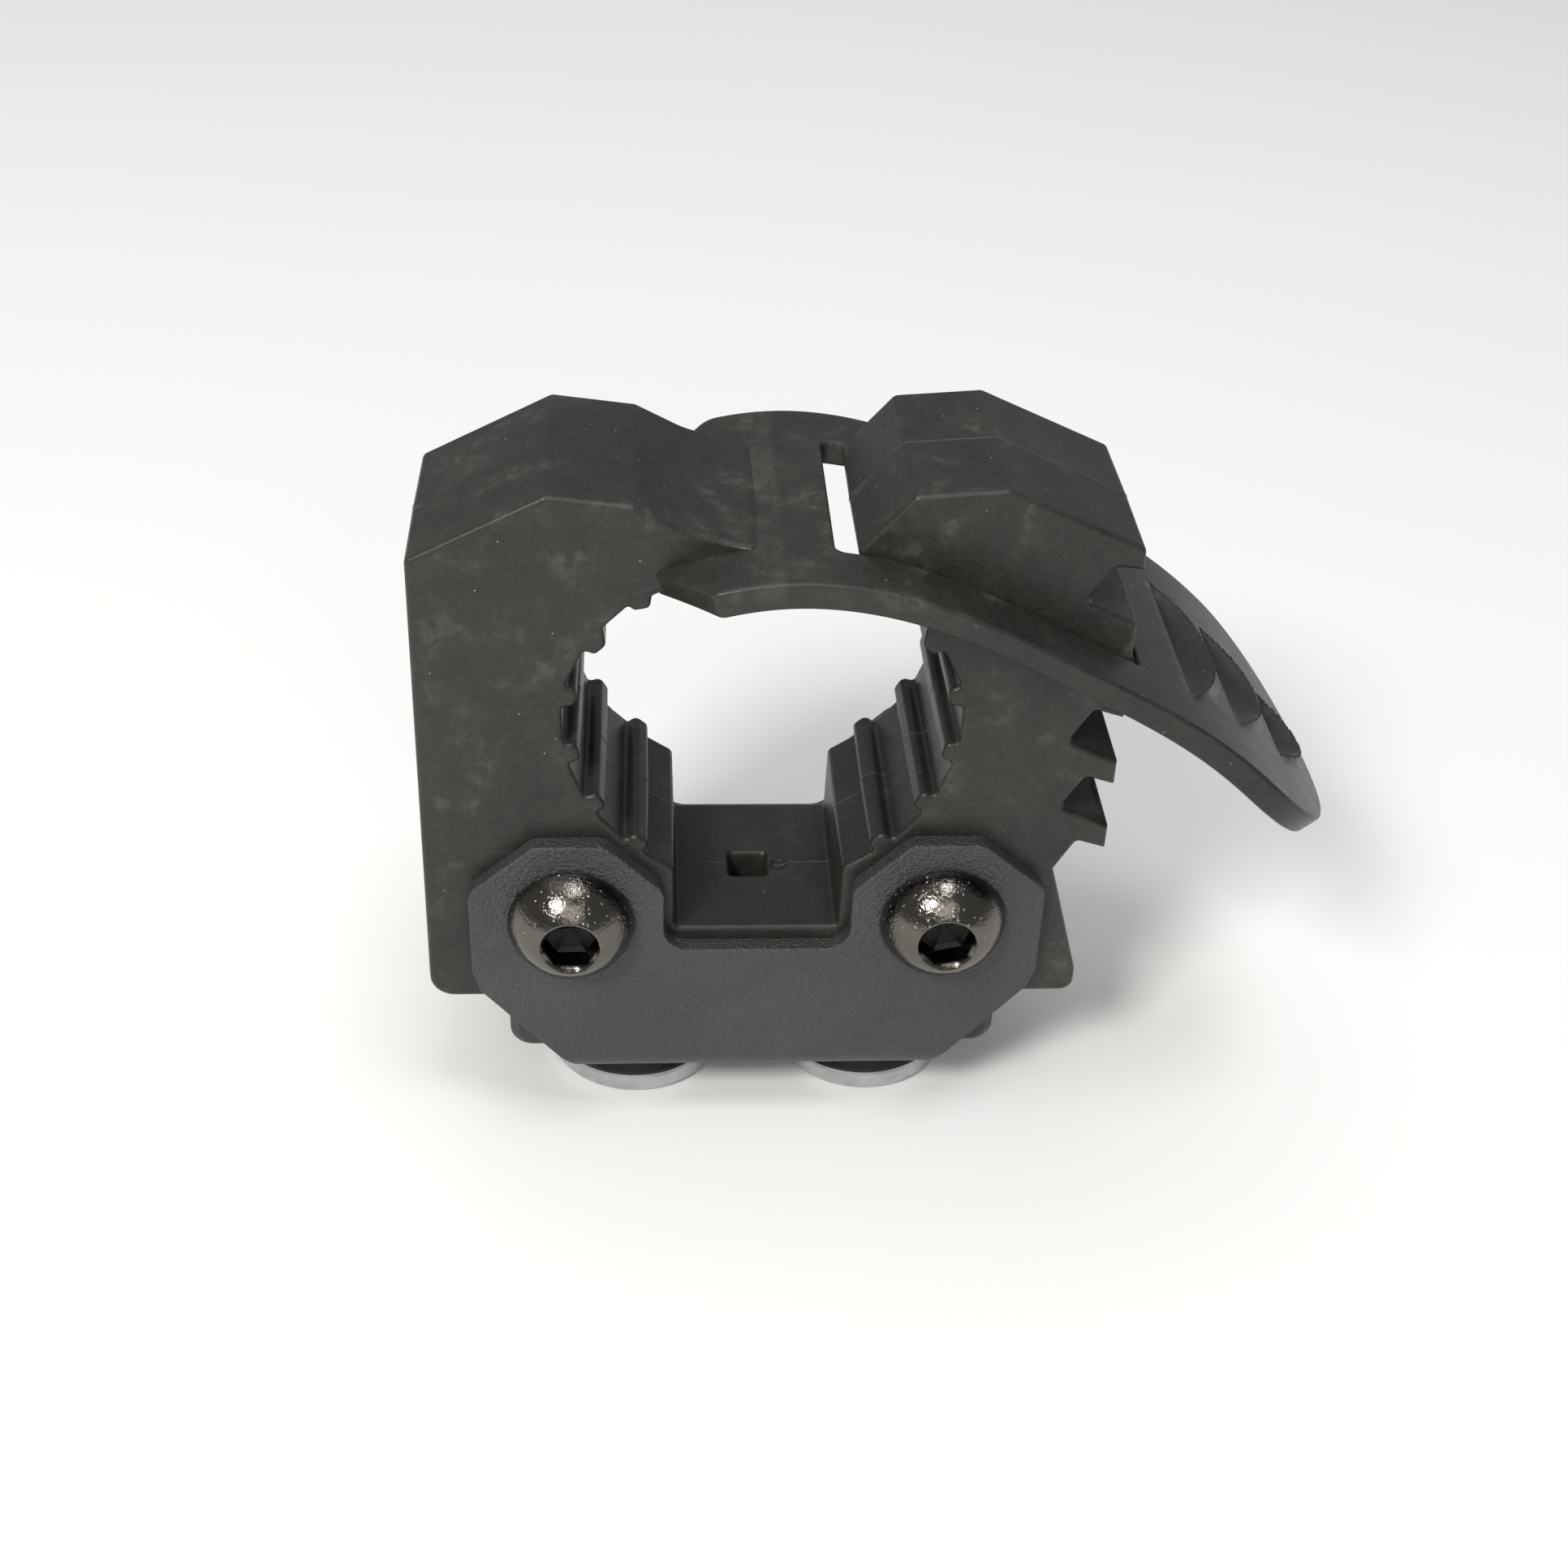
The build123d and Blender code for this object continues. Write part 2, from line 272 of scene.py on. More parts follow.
def cut_away(
    work: bmesh.types.BMesh, point: Vector, normal: Vector, keep_below: bool
) -> bmesh.types.BMesh:
    """Return a copy of a solid with everything on one side of a plane removed and closed.

    Args:
        work: the solid, which stays as it is.
        point: a point of the plane.
        normal: the plane's normal.
        keep_below: True to keep the side that the normal points away from.

    Returns:
        The kept part as a new closed mesh.
    """
    part = work.copy()
    everything = part.verts[:] + part.edges[:] + part.faces[:]
    result = bmesh.ops.bisect_plane(
        part,
        geom=everything,
        dist=1e-8,
        plane_co=point,
        plane_no=normal,
        clear_outer=keep_below,
        clear_inner=not keep_below,
    )
    rim = [item for item in result["geom_cut"] if isinstance(item, bmesh.types.BMEdge)]
    bmesh.ops.holes_fill(part, edges=rim, sides=0)
    bmesh.ops.recalc_face_normals(part, faces=part.faces)
    return part


def slice_along(work: bmesh.types.BMesh, axis: int, places: Iterable[float], only: Callable) -> None:
    """Score a mesh with a row of parallel planes, without taking anything away.

    Args:
        work: the mesh.
        axis: 0, 1 or 2, the direction the planes face.
        places: where the planes are.
        only: tells which faces are scored.
    """
    normal = Vector([float(axis == index) for index in range(3)])
    for place in places:
        faces = [face for face in work.faces if only(face)]
        geometry = set(faces)
        for face in faces:
            geometry.update(face.edges)
            geometry.update(face.verts)
        bmesh.ops.bisect_plane(
            work, geom=list(geometry), dist=1e-6, plane_co=normal * place, plane_no=normal
        )


def linked(name: str, data: bpy.types.ID) -> bpy.types.Object:
    """Put a new object with the given data into the scene.

    Args:
        name: name of the object.
        data: its mesh, light or camera.

    Returns:
        The object.
    """
    made = bpy.data.objects.new(name, data)
    bpy.context.scene.collection.objects.link(made)
    return made


def make_object(
    name: str, work: bmesh.types.BMesh, material: bpy.types.Material, sharp: float = 40.0
) -> bpy.types.Object:
    """Turn a finished mesh into a smooth object with face-weighted normals.

    Args:
        name: name of the object.
        work: the mesh, which is freed.
        material: its material.
        sharp: angle in degrees above which an edge stays sharp.

    Returns:
        The new object, at the origin.
    """
    mesh = bpy.data.meshes.new(name)
    for face in work.faces:
        face.smooth = True
    for edge in work.edges:
        if len(edge.link_faces) == 2 and edge.calc_face_angle(0.0) > math.radians(sharp):
            edge.smooth = False
    work.to_mesh(mesh)
    work.free()
    mesh.materials.append(material)
    piece = linked(name, mesh)
    weighted = piece.modifiers.new("weighted", "WEIGHTED_NORMAL")
    weighted.keep_sharp = True
    weighted.weight = 50
    return piece


def settle(piece: bpy.types.Object) -> None:
    """Replace an object's mesh by its evaluated one and drop its modifiers.

    Args:
        piece: the object, which is changed.
    """
    bpy.context.view_layer.update()
    evaluated = piece.evaluated_get(bpy.context.evaluated_depsgraph_get())
    final = bpy.data.meshes.new_from_object(evaluated)
    final.name = piece.name
    piece.modifiers.clear()
    piece.data = final


# ---- node trees ------------------------------------------------------------------------------


def both_ways(operation: str) -> tuple[Callable, Callable]:
    """Make the two methods that let a wire stand on either side of an operator.

    Args:
        operation: operation of the Math node.

    Returns:
        The method for the wire on the left, and the one for the wire on the right.
    """

    def plain(self: "Wire", other: "Wire | float") -> "Wire":
        """Result with this wire first."""
        return self.sheet.math(operation, self, other)

    def reflected(self: "Wire", other: float) -> "Wire":
        """Result with this wire second."""
        return self.sheet.math(operation, other, self)

    return plain, reflected


class Wire:
    """A value in a node tree that takes part in Python arithmetic."""

    def __init__(self, sheet: "Sheet", socket: bpy.types.NodeSocket) -> None:
        """Wrap a socket.

        Args:
            sheet: the tree it belongs to.
            socket: the output socket.
        """
        self.sheet = sheet
        self.socket = socket

    __add__, __radd__ = both_ways("ADD")
    __sub__, __rsub__ = both_ways("SUBTRACT")
    __mul__, __rmul__ = both_ways("MULTIPLY")
    __truediv__, __rtruediv__ = both_ways("DIVIDE")
    __pow__ = both_ways("POWER")[0]
    __mod__ = both_ways("FLOORED_MODULO")[0]

    def __abs__(self) -> "Wire":
        """Size without its sign."""
        return self.sheet.math("ABSOLUTE", self, 0.0)

    def apply(self, operation: str, other: "Wire | float" = 0.0) -> "Wire":
        """Result of a named Math operation."""
        return self.sheet.math(operation, self, other)

    def ramp(self, low: float, high: float) -> "Wire":
        """Smooth step between two values.

        Args:
            low: value at which the result is 0.
            high: value at which it is 1.

        Returns:
            The step.
        """
        return self.sheet.add(
            "ShaderNodeMapRange",
            {"interpolation_type": "SMOOTHSTEP"},
            {0: self, 1: low, 2: high, 3: 0.0, 4: 1.0},
        )

    def between(self, low: float, high: float, soft: float) -> "Wire":
        """1 between two values, fading to 0 over a soft margin outside them."""
        return self.ramp(low - soft, low) * (1 - self.ramp(high, high + soft))


class Sheet:
    """A node tree under construction."""

    def __init__(self, tree: bpy.types.NodeTree) -> None:
        """Start on an empty tree."""
        self.tree = tree
        tree.nodes.clear()

    def node(self, kind: str, settings: dict, values: dict) -> bpy.types.Node:
        """Add a node.

        Args:
            kind: the node's type name.
            settings: properties, which are set first.
            values: numbers, colours or wires by input name or number.

        Returns:
            The new node.
        """
        made = self.tree.nodes.new(kind)
        for name, value in settings.items():
            setattr(made, name, value)
        for key, value in values.items():
            if isinstance(value, Wire):
                self.tree.links.new(value.socket, made.inputs[key])
            else:
                made.inputs[key].default_value = value
        return made

    def add(self, kind: str, settings: dict, values: dict, output: str | int = 0) -> Wire:
        """Add a node and return one of its outputs as a wire."""
        return Wire(self, self.node(kind, settings, values).outputs[output])

    def math(self, operation: str, first: Wire | float, second: Wire | float) -> Wire:
        """Result of a Math node on two values."""
        return self.add("ShaderNodeMath", {"operation": operation}, {0: first, 1: second})


class Paint(Sheet):
    """Shader tree of one material, with patterns laid out in millimetres."""

    def __init__(self, name: str) -> None:
        """Create the material and its millimetre coordinates.

        Args:
            name: name of the material.
        """
        self.material = bpy.data.materials.new(name)
        self.material.use_nodes = True
        super().__init__(self.material.node_tree)
        place = self.add("ShaderNodeTexCoord", {}, {}, "Object")
        self.place = self.add("ShaderNodeMapping", {}, {"Vector": place, "Scale": (1 / MM,) * 3})
        apart = self.node("ShaderNodeSeparateXYZ", {}, {0: self.place})
        self.x, self.y, self.z = (Wire(self, socket) for socket in apart.outputs)

    def noise(self, scale: float, detail: float = 3.0, twist: float = 0.0, offset: float = 0.0) -> Wire:
        """Cloudy noise.

        Args:
            scale: cells per millimetre.
            detail: octaves of finer noise.
            twist: how much it is distorted.
            offset: shift along all three axes, which gives another pattern.

        Returns:
            The noise, from 0 to 1.
        """
        shifted = self.add("ShaderNodeMapping", {}, {"Vector": self.place, "Location": (offset,) * 3})
        values = {"Vector": shifted, "Scale": scale, "Detail": detail, "Distortion": twist}
        return self.add("ShaderNodeTexNoise", {}, values, 0)

    def stretched(self, scale: tuple[float, float, float]) -> Wire:
        """Millimetre coordinates scaled along each axis."""
        return self.add("ShaderNodeMapping", {}, {"Vector": self.place, "Scale": scale})

    def specks(self, scale: float, size: float, share: float) -> Wire:
        """Scattered round spots.

        Args:
            scale: cells per millimetre.
            size: radius of a spot as a share of a cell.
            share: share of the cells that have one.

        Returns:
            1 on the spots and 0 elsewhere.
        """
        cells = self.node("ShaderNodeTexVoronoi", {}, {"Vector": self.place, "Scale": scale})
        near = 1 - Wire(self, cells.outputs["Distance"]).ramp(size * 0.5, size)
        pick = self.add("ShaderNodeSeparateColor", {}, {0: Wire(self, cells.outputs["Color"])})
        return near * pick.apply("GREATER_THAN", 1 - share)

    def mix(self, factor: Wire | float, first: Wire | tuple, second: Wire | tuple) -> Wire:
        """Blend of two colours."""
        settings = {"data_type": "RGBA", "clamp_factor": True}
        return self.add("ShaderNodeMix", settings, {0: factor, 6: first, 7: second}, 2)

    def bump(self, height: Wire, distance: float, strength: float = 1.0) -> Wire:
        """Surface normal bent by a height in millimetres."""
        values = {"Height": height, "Distance": distance * MM, "Strength": strength}
        return self.add("ShaderNodeBump", {}, values)

    def finish(self, values: dict) -> bpy.types.Material:
        """End the tree in a Principled shader.

        Args:
            values: the shader's inputs by name.

        Returns:
            The material.
        """
        shader = self.add("ShaderNodeBsdfPrincipled", {}, values)
        self.node("ShaderNodeOutputMaterial", {}, {"Surface": shader})
        return self.material


def grey(value: float, warmth: float = 0.0, green: float = 0.0) -> tuple[float, float, float, float]:
    """A near-grey linear colour.

    Args:
        value: its lightness.
        warmth: share by which red rises and blue falls.
        green: share by which green rises.

    Returns:
        The colour with full alpha.
    """
    return (value * (1 + warmth), value * (1 + green), value * (1 - warmth), 1.0)


# ---- finishes --------------------------------------------------------------------------------


class RubberPart(Enum):
    """Part of the clamp that a rubber finish is for."""

    MOULDING = "moulding"
    STRAP = "strap"


@dataclass(frozen=True)
class RubberFinish:
    """Dull moulded rubber with a chalky bloom, dust and handling marks.

    Args:
        clean: colour of bare rubber.
        bloom: colour of the chalky film.
        parting_half_width: half the width of the mark along the mould's parting plane.
    """

    clean: tuple = grey(0.0085, 0.0, 0.16)
    bloom: tuple = grey(0.036, 0.07, 0.04)
    parting_half_width: float = 0.16

    def build(self, part: RubberPart) -> bpy.types.Material:
        """Make the material for one part of the clamp.

        Args:
            part: the part.

        Returns:
            The material.
        """
        paint = Paint("rubber_" + part.value)
        broad = paint.noise(0.055, 4.0, 0.8)
        cloudy = paint.noise(0.22, 5.0, 0.4, 7.0)
        haze = paint.noise(0.75, 5.0, 0.3, 33.0)
        grain = paint.noise(3.4, 3.0)
        film = 0.34 + 0.62 * broad.ramp(0.30, 0.72) * cloudy.ramp(0.15, 0.85)
        film = film + 0.55 * (haze - 0.5) + 0.9 * (grain - 0.5)
        smudge = cloudy.ramp(0.50, 0.72) * haze.ramp(0.40, 0.72) * broad.ramp(0.42, 0.58)
        colour = paint.mix(film, self.clean, self.bloom)
        colour = paint.mix(smudge * 0.30, colour, grey(0.15, 0.05))
        dust = paint.specks(0.85, 0.085, 0.14)
        colour = paint.mix(dust * 0.75, colour, grey(0.42, 0.04))
        height = grain * 0.022 + haze * 0.03 + cloudy * 0.05 + dust * 0.03
        rough = 0.27 + 0.12 * cloudy + 0.12 * haze - 0.05 * smudge
        if part is RubberPart.MOULDING:
            wander = paint.noise(1.4, 2.0, 0.0, 40.0) - 0.5
            line = 1 - (abs(paint.y + wander * 0.22) / self.parting_half_width).ramp(0.35, 1.0)
            worn = 1 - 0.8 * paint.x.between(-40.0, -1.0, 2.0) * paint.z.ramp(60.0, 62.0)
            colour = paint.mix(line * worn * 0.32, colour, grey(0.13, 0.05))
            height = height + line * worn * 0.04
        else:
            crease = paint.x.between(-1.2, 0.8, 1.0) * paint.z.ramp(60.0, 61.5)
            wear = crease * paint.noise(0.35, 4.0, 0.6, 12.0).ramp(0.30, 0.75)
            colour = paint.mix(wear * 0.16, colour, grey(0.15, 0.05))
            values = {"Vector": paint.stretched((2.4, 0.35, 1.0)), "Scale": 1.0, "Detail": 2.0}
            cracks = paint.add("ShaderNodeTexNoise", {}, values, 0).ramp(0.60, 0.66) * crease
            colour = paint.mix(cracks * 0.25, colour, grey(0.008))
            height = height - cracks * 0.03
        return paint.finish(
            {
                "Base Color": colour,
                "Roughness": rough,
                "Specular IOR Level": 0.36,
                "Normal": paint.bump(height, 1.0),
            }
        )


@dataclass(frozen=True)
class PowderCoat:
    """Satin black powder coat with a fine sandy texture.

    Args:
        base: colour of the coat.
        grain: texture cells per millimetre.
        depth: height of the texture.
    """

    base: tuple = grey(0.034, 0.01)
    grain: float = 2.6
    depth: float = 0.13

    def build(self) -> bpy.types.Material:
        """Make the material.

        Returns:
            The material.
        """
        paint = Paint("powder_coat")
        sand = paint.noise(self.grain, 3.0, 0.3)
        fine = paint.noise(self.grain * 2.6, 2.0, 0.0, 5.0)
        broad = paint.noise(0.07, 3.0, 0.5, 9.0)
        patchy = broad.ramp(0.3, 0.7) * 0.4 + 1.2 * (sand - 0.4)
        colour = paint.mix(patchy, self.base, grey(0.062, 0.03))
        pits = paint.specks(1.3, 0.12, 0.12)
        colour = paint.mix(pits * 0.5, colour, grey(0.015))
        height = sand.ramp(0.25, 0.75) * self.depth + fine * 0.04 - pits * 0.03
        return paint.finish(
            {
                "Base Color": colour,
                "Roughness": 0.24 + 0.26 * sand,
                "Specular IOR Level": 0.5,
                "Normal": paint.bump(height, 1.0),
            }
        )


@dataclass(frozen=True)
class BlackNickel:
    """Bright black nickel plating with fine pits, painted shade in the sockets, and dust with painted
    glints on top.

    Args:
        base: reflection colour.
        roughness: blur of the reflections.
        screw_x: X of the screws on either side of the middle.
        screw_z: height of the screws.
        socket_shade_reach: radius within which the sockets lie, which bounds the painted shade in them.
        socket_shade_from: distance from the middle plane up to which the sockets, and the painted shade
            in them, reach.
    """

    base: tuple = grey(0.125, 0.09)
    roughness: float = 0.10
    screw_x: float = 19.05
    screw_z: float = 21.1
    socket_shade_reach: float = 2.95
    socket_shade_from: float = 16.9

    def build(self) -> bpy.types.Material:
        """Make the material.

        Returns:
            The material.
        """
        paint = Paint("black_nickel")
        ripple = paint.noise(0.7, 3.0, 0.6)
        crinkle = paint.noise(2.4, 4.0, 0.5, 11.0)
        pits = paint.specks(1.7, 0.30, 0.34)
        upper = (paint.z - self.screw_z).ramp(-2.5, 1.0)
        # Painted shade: a mask over the inside of each hex socket, whose colour is darkened below to
        # stand for the shade in the recess.
        reach = (abs(paint.x) - self.screw_x) ** 2 + (paint.z - self.screw_z) ** 2
        socket = (1 - reach.ramp(self.socket_shade_reach**2 - 0.8, self.socket_shade_reach**2)) * (
            1 - abs(paint.y).ramp(self.socket_shade_from, self.socket_shade_from + 0.2)
        )
        # Pale specks in the pits on the upper half only: partly dust, partly painted glints of the light
        # from above.
        colour = paint.mix(pits * 0.5 * upper, self.base, grey(0.5, 0.02))
        # Painted shade: darken the insides of the sockets.
        colour = paint.mix(socket * 0.9, colour, grey(0.012))
        height = ripple * 0.05 + (crinkle * 0.05 - pits * 0.035) * (0.25 + 0.75 * upper)
        return paint.finish(
            {
                "Base Color": colour,
                "Metallic": 1.0,
                "Roughness": self.roughness + 0.08 * ripple + 0.12 * pits + 0.2 * socket,
                "Normal": paint.bump(height, 1.0),
            }
        )


@dataclass(frozen=True)
class ZincSteel:
    """Bright zinc on turned steel.

    Args:
        base: reflection colour.
    """

    base: tuple = grey(0.58, -0.02)

    def build(self) -> bpy.types.Material:
        """Make the material.

        Returns:
            The material.
        """
        paint = Paint("zinc_steel")
        blotch = paint.noise(0.4, 4.0, 0.5)
        stretched = paint.stretched((0.2, 0.2, 9.0))
        rings = paint.add("ShaderNodeTexNoise", {}, {"Vector": stretched, "Scale": 1.0}, 0)
        colour = paint.mix(blotch.ramp(0.35, 0.7) * 0.6, self.base, grey(0.40, 0.03))
        return paint.finish(
            {
                "Base Color": colour,
                "Metallic": 1.0,
                "Roughness": 0.24 + 0.2 * blotch,
                "Normal": paint.bump(rings * 0.02, 1.0),
            }
        )


@dataclass(frozen=True)
class SpacerPlastic:
    """Dull black moulded plastic.

    Args:
        base: colour of the plastic.
    """

    base: tuple = grey(0.022, 0.0)

    def build(self) -> bpy.types.Material:
        """Make the material.

        Returns:
            The material.
        """
        paint = Paint("spacer_plastic")
        cloudy = paint.noise(0.3, 4.0, 0.3)
        grain = paint.noise(3.2, 3.0)
        colour = paint.mix(cloudy.ramp(0.3, 0.7) * 0.6, self.base, grey(0.04, 0.03))
        return paint.finish(
            {
                "Base Color": colour,
                "Roughness": 0.45 + 0.2 * cloudy,
                "Normal": paint.bump(grain * 0.02, 1.0),
            }
        )


# ---- rubber moulding -------------------------------------------------------------------------


@dataclass
class Moulding:
    """C-shaped rubber body: foot, ribbed tool seat, two jaws and the catch head.

    Args:
        half_width: half the body's width across the track.
        jaw_outer: distance of the outer walls from the middle.
        foot_bottom: height of the foot's underside.
        tool_radius: radius of the tool seat between its ribs.
        tool_z: height of the tool seat's centre.
        notch_half: half the width of the notch between the jaws.
        notch_floor: height of the notch's floor.
        rib_height: how far a rib stands into the seat.
        rib_half: half the width of a rib at its root.
        rib_taper: width of its crest as a share of the width at its root.
        rib_round: radius of a rib's crest.
        rib_fillet: radius at its root.
        draft: how much each side face has shrunk from the parting plane.
        edge_round: radius of the side faces' edges.
        seam_z: height where the jaws are parted from the foot.
        tooth_pitch: distance between the teeth.
        tooth_top: height of the first tooth's tip.
        tooth_count: number of teeth.
        first_tooth_heel: how much lower the first tooth's underside lies than the others'.
        wall_lean: how far the left wall's top leans inwards.
        rib_angles: angles of the plain ribs below the horizontal through the seat.
        hole_middle: X and Y of the mould hole in the notch floor.
        hole_half: half its width.
        dimple_middle: X and Y of the dimple beside it.
        tooth_reach: how far the teeth stand out past the outer wall.
        tooth_depth: depth of the gaps between them.
        gap_rise: height of a gap's upper end over the tip of the tooth under it.
        parting_half: half the width of the raised line along the parting plane.
        parting_height: how far that line stands out.
    """

    half_width: float
    jaw_outer: float
    foot_bottom: float
    tool_radius: float = 19.4
    tool_z: float = 44.0
    notch_half: float = 8.3
    notch_floor: float = 18.9
    rib_height: float = 1.3
    rib_half: float = 1.3
    rib_taper: float = 0.82
    rib_round: float = 0.95
    rib_fillet: float = 0.35
    draft: float = 0.12
    edge_round: float = 0.55
    seam_z: float = 31.75
    tooth_pitch: float = 7.95
    tooth_top: float = 55.3
    tooth_count: int = 4
    first_tooth_heel: float = 1.6
    wall_lean: float = 0.6
    rib_angles: tuple[float, ...] = (8.8, -10.8, -30.2, -49.8)
    hole_middle: Point = (-0.5, -0.15)
    hole_half: float = 2.0
    dimple_middle: Point = (2.75, -0.3)
    tooth_reach: float = 1.38
    tooth_depth: float = 5.05
    gap_rise: float = 2.35
    parting_half: float = 0.16
    parting_height: float = 0.05

    @classmethod
    def from_frame(cls) -> "Moulding":
        """Take the outer sizes from the CAD foot.

        Returns:
            The moulding.
        """
        low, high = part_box("clamp_base")
        return cls(half_width=high.y / MM, jaw_outer=-low.x / MM, foot_bottom=low.z / MM)

    def _rib(self, side: int, angle: float) -> list[Corner]:
        """Four corners of one rib, from above it to below it.

        Args:
            side: 1 on the right jaw and -1 on the left one.
            angle: the rib's angle over the horizontal, in degrees.

        Returns:
            The corners.
        """
        turn = math.radians(angle)
        out = Vector((side * math.cos(turn), math.sin(turn)))
        along = Vector((side * math.sin(turn), -math.cos(turn)))
        crest = self.tool_radius - self.rib_height
        corners = []
        for radius, offset, rounding in (
            (self.tool_radius, -self.rib_half, self.rib_fillet),
            (crest, -self.rib_half * self.rib_taper, self.rib_round),
            (crest, self.rib_half * self.rib_taper, self.rib_round),
            (self.tool_radius, self.rib_half, self.rib_fillet),
        ):
            point = out * radius + along * offset
            corners.append(Corner(point.x, self.tool_z + point.y, rounding))
        return corners

    def _seat(self, side: int) -> list[Corner]:
        """Ribbed wall of one jaw from its nose down to the notch.

        Args:
            side: 1 on the right jaw and -1 on the left one.

        Returns:
            The corners of the wall.
        """
        nose = (
            (10.62, 14.05, 0.35),
            (10.8, 12.7, 0.7),
            (12.45, 12.4, 0.6),
            (12.95, 12.85, 0.3),
            (15.22, 10.6, 0.4),
            (14.95, 8.6, 0.9),
            (16.1, 7.55, 0.7),
            (17.2, 7.95, 0.35),
        )
        corners = [Corner(side * x, self.tool_z + rise, radius) for x, rise, radius in nose]
        for angle in self.rib_angles:
            corners.extend(self._rib(side, angle))
        corners.append(Corner(side * (self.notch_half + 0.15), 26.3, 0.9))
        corners.append(Corner(side * self.notch_half, self.notch_floor, 0.4))
        return corners

    def _teeth(self) -> list[Corner]:
        """Rack of hooked teeth on the right wall.

        Returns:
            The corners, from the lowest tooth to the highest.
        """
        tip = self.jaw_outer + self.tooth_reach
        root = tip - self.tooth_depth
        corners = []
        for index in reversed(range(self.tooth_count)):
            top = self.tooth_top - index * self.tooth_pitch
            corners.append(Corner(root, top + self.gap_rise - self.tooth_pitch, 0.35))
            heel = self.first_tooth_heel if index == 0 else 0.0
            corners.append(Corner(tip - 3.1, top - 2.1 - heel, 0.4))
            corners.append(Corner(tip, top - 3.1 - heel, 0.3))
            corners.append(Corner(tip, top, 0.35))
        corners.append(Corner(root, self.tooth_top + self.gap_rise, 0.5))
        return corners

    def contour(self) -> Contour:
        """Outline of the whole body on the parting plane.

        Returns:
            The outline, anticlockwise.
        """
        top = self.tool_z + self.tool_radius
        outer = self.jaw_outer
        right = self._teeth() + [
            Corner(outer - 1.4, top - 2.2, 0.5),
            Corner(outer + 1.4, top - 2.5, 0.3),
            Corner(outer + 1.25, top + 0.05, 0.9),
            Corner(22.0, top + 6.1, 1.0),
            Corner(13.3, top + 5.45, 1.0),
            Corner(8.1, top - 0.5, 0.9),
        ]
        left = [
            Corner(-4.6, top - 2.75, 0.5),
            Corner(-1.5, top - 0.6, 0.2),
            Corner(-0.7, top - 0.02, 0.1),
            Corner(-1.5, top + 0.3, 0.4),
            Corner(-4.2, top + 0.75, 3.0),
            Corner(-7.6, top + 1.85, 7.0),
            Corner(-12.3, top + 4.3, 0.9),
            Corner(-20.5, top + 5.3, 1.1),
            Corner(self.wall_lean - outer, top - 1.4, 0.9),
        ]
        foot = [Corner(-outer, self.foot_bottom, 2.6), Corner(outer, self.foot_bottom, 2.6)]
        foot.append(Corner(outer, self.foot_bottom + 3.0, 0.8))
        seat = self._seat(1) + list(reversed(self._seat(-1)))
        return Contour(foot + right + seat + left)

    def body(self) -> bmesh.types.BMesh:
        """Whole body: foot and both jaws in one.

        Returns:
            A closed mesh.
        """
        half = self.half_width
        levels = rounded_levels(-half, half, self.edge_round, self.draft, 5)
        middle = len(levels) // 2
        line, height = self.parting_half, self.parting_height
        levels[middle:middle] = [Level(-line, height), Level(0.0, 0.0), Level(line, height)]
        contour = self.contour()
        loops = []
        for level in levels:
            outline = contour.shrunk(level.inset)
            loops.append([Vector((p.x, level.depth, p.y)) * MM for p in outline])
        work = bmesh.new()
        ends = add_wall(work, loops)
        for edges in ends:
            bmesh.ops.contextual_create(work, geom=edges)
        return closed_mesh(work)

    def build(self, rubber: bpy.types.Material) -> None:
        """Make the foot and the two jaws, and tie the foot to its body.

        Args:
            rubber: finish of the moulding.
        """
        body = self.body()
        seam = Vector((0, 0, self.seam_z)) * MM
        up = Vector((0, 0, 1))
        foot = cut_away(body, seam, up, True)
        upper = cut_away(body, seam, up, False)
        foot_piece = make_object("clamp_foot", foot, rubber)
        self._drill(foot_piece)
        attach(foot_piece, "frame")
        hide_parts("clamp_base")
        for name, keep_below in (("left_jaw", True), ("right_jaw", False)):
            half = cut_away(upper, Vector((0, 0, 0)), Vector((1, 0, 0)), keep_below)
            piece = make_object(name + "_rubber", half, rubber)
            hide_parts(name)
            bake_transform(piece)
            LOG.info("%s: %d faces", piece.name, len(piece.data.polygons))
        LOG.info("%s: %d faces", foot_piece.name, len(foot_piece.data.polygons))
        upper.free()
        body.free()

    def _pit(self, middle: Point, sizes: Sequence[Point], rounding: float) -> bmesh.types.BMesh:
        """Closed body that cuts a square or round pit into the notch floor.

        Args:
            middle: X and Y of the pit.
            sizes: depths under the floor with half the pit's width there.
            rounding: corner radius as a share of the half width.

        Returns:
            The cutting body.
        """
        loops = []
        for depth, reach in sizes:
            signs = ((-1, -1), (1, -1), (1, 1), (-1, 1))
            square = Contour([Corner(sx * reach, sy * reach, rounding * reach) for sx, sy in signs])
            loops.append(
                [
                    Vector((p.x + middle[0], p.y + middle[1], self.notch_floor - depth)) * MM
                    for p in square.shrunk(0.0)
                ]
            )
        work = bmesh.new()
        for edges in add_wall(work, loops):
            bmesh.ops.contextual_create(work, geom=edges)
        return closed_mesh(work)

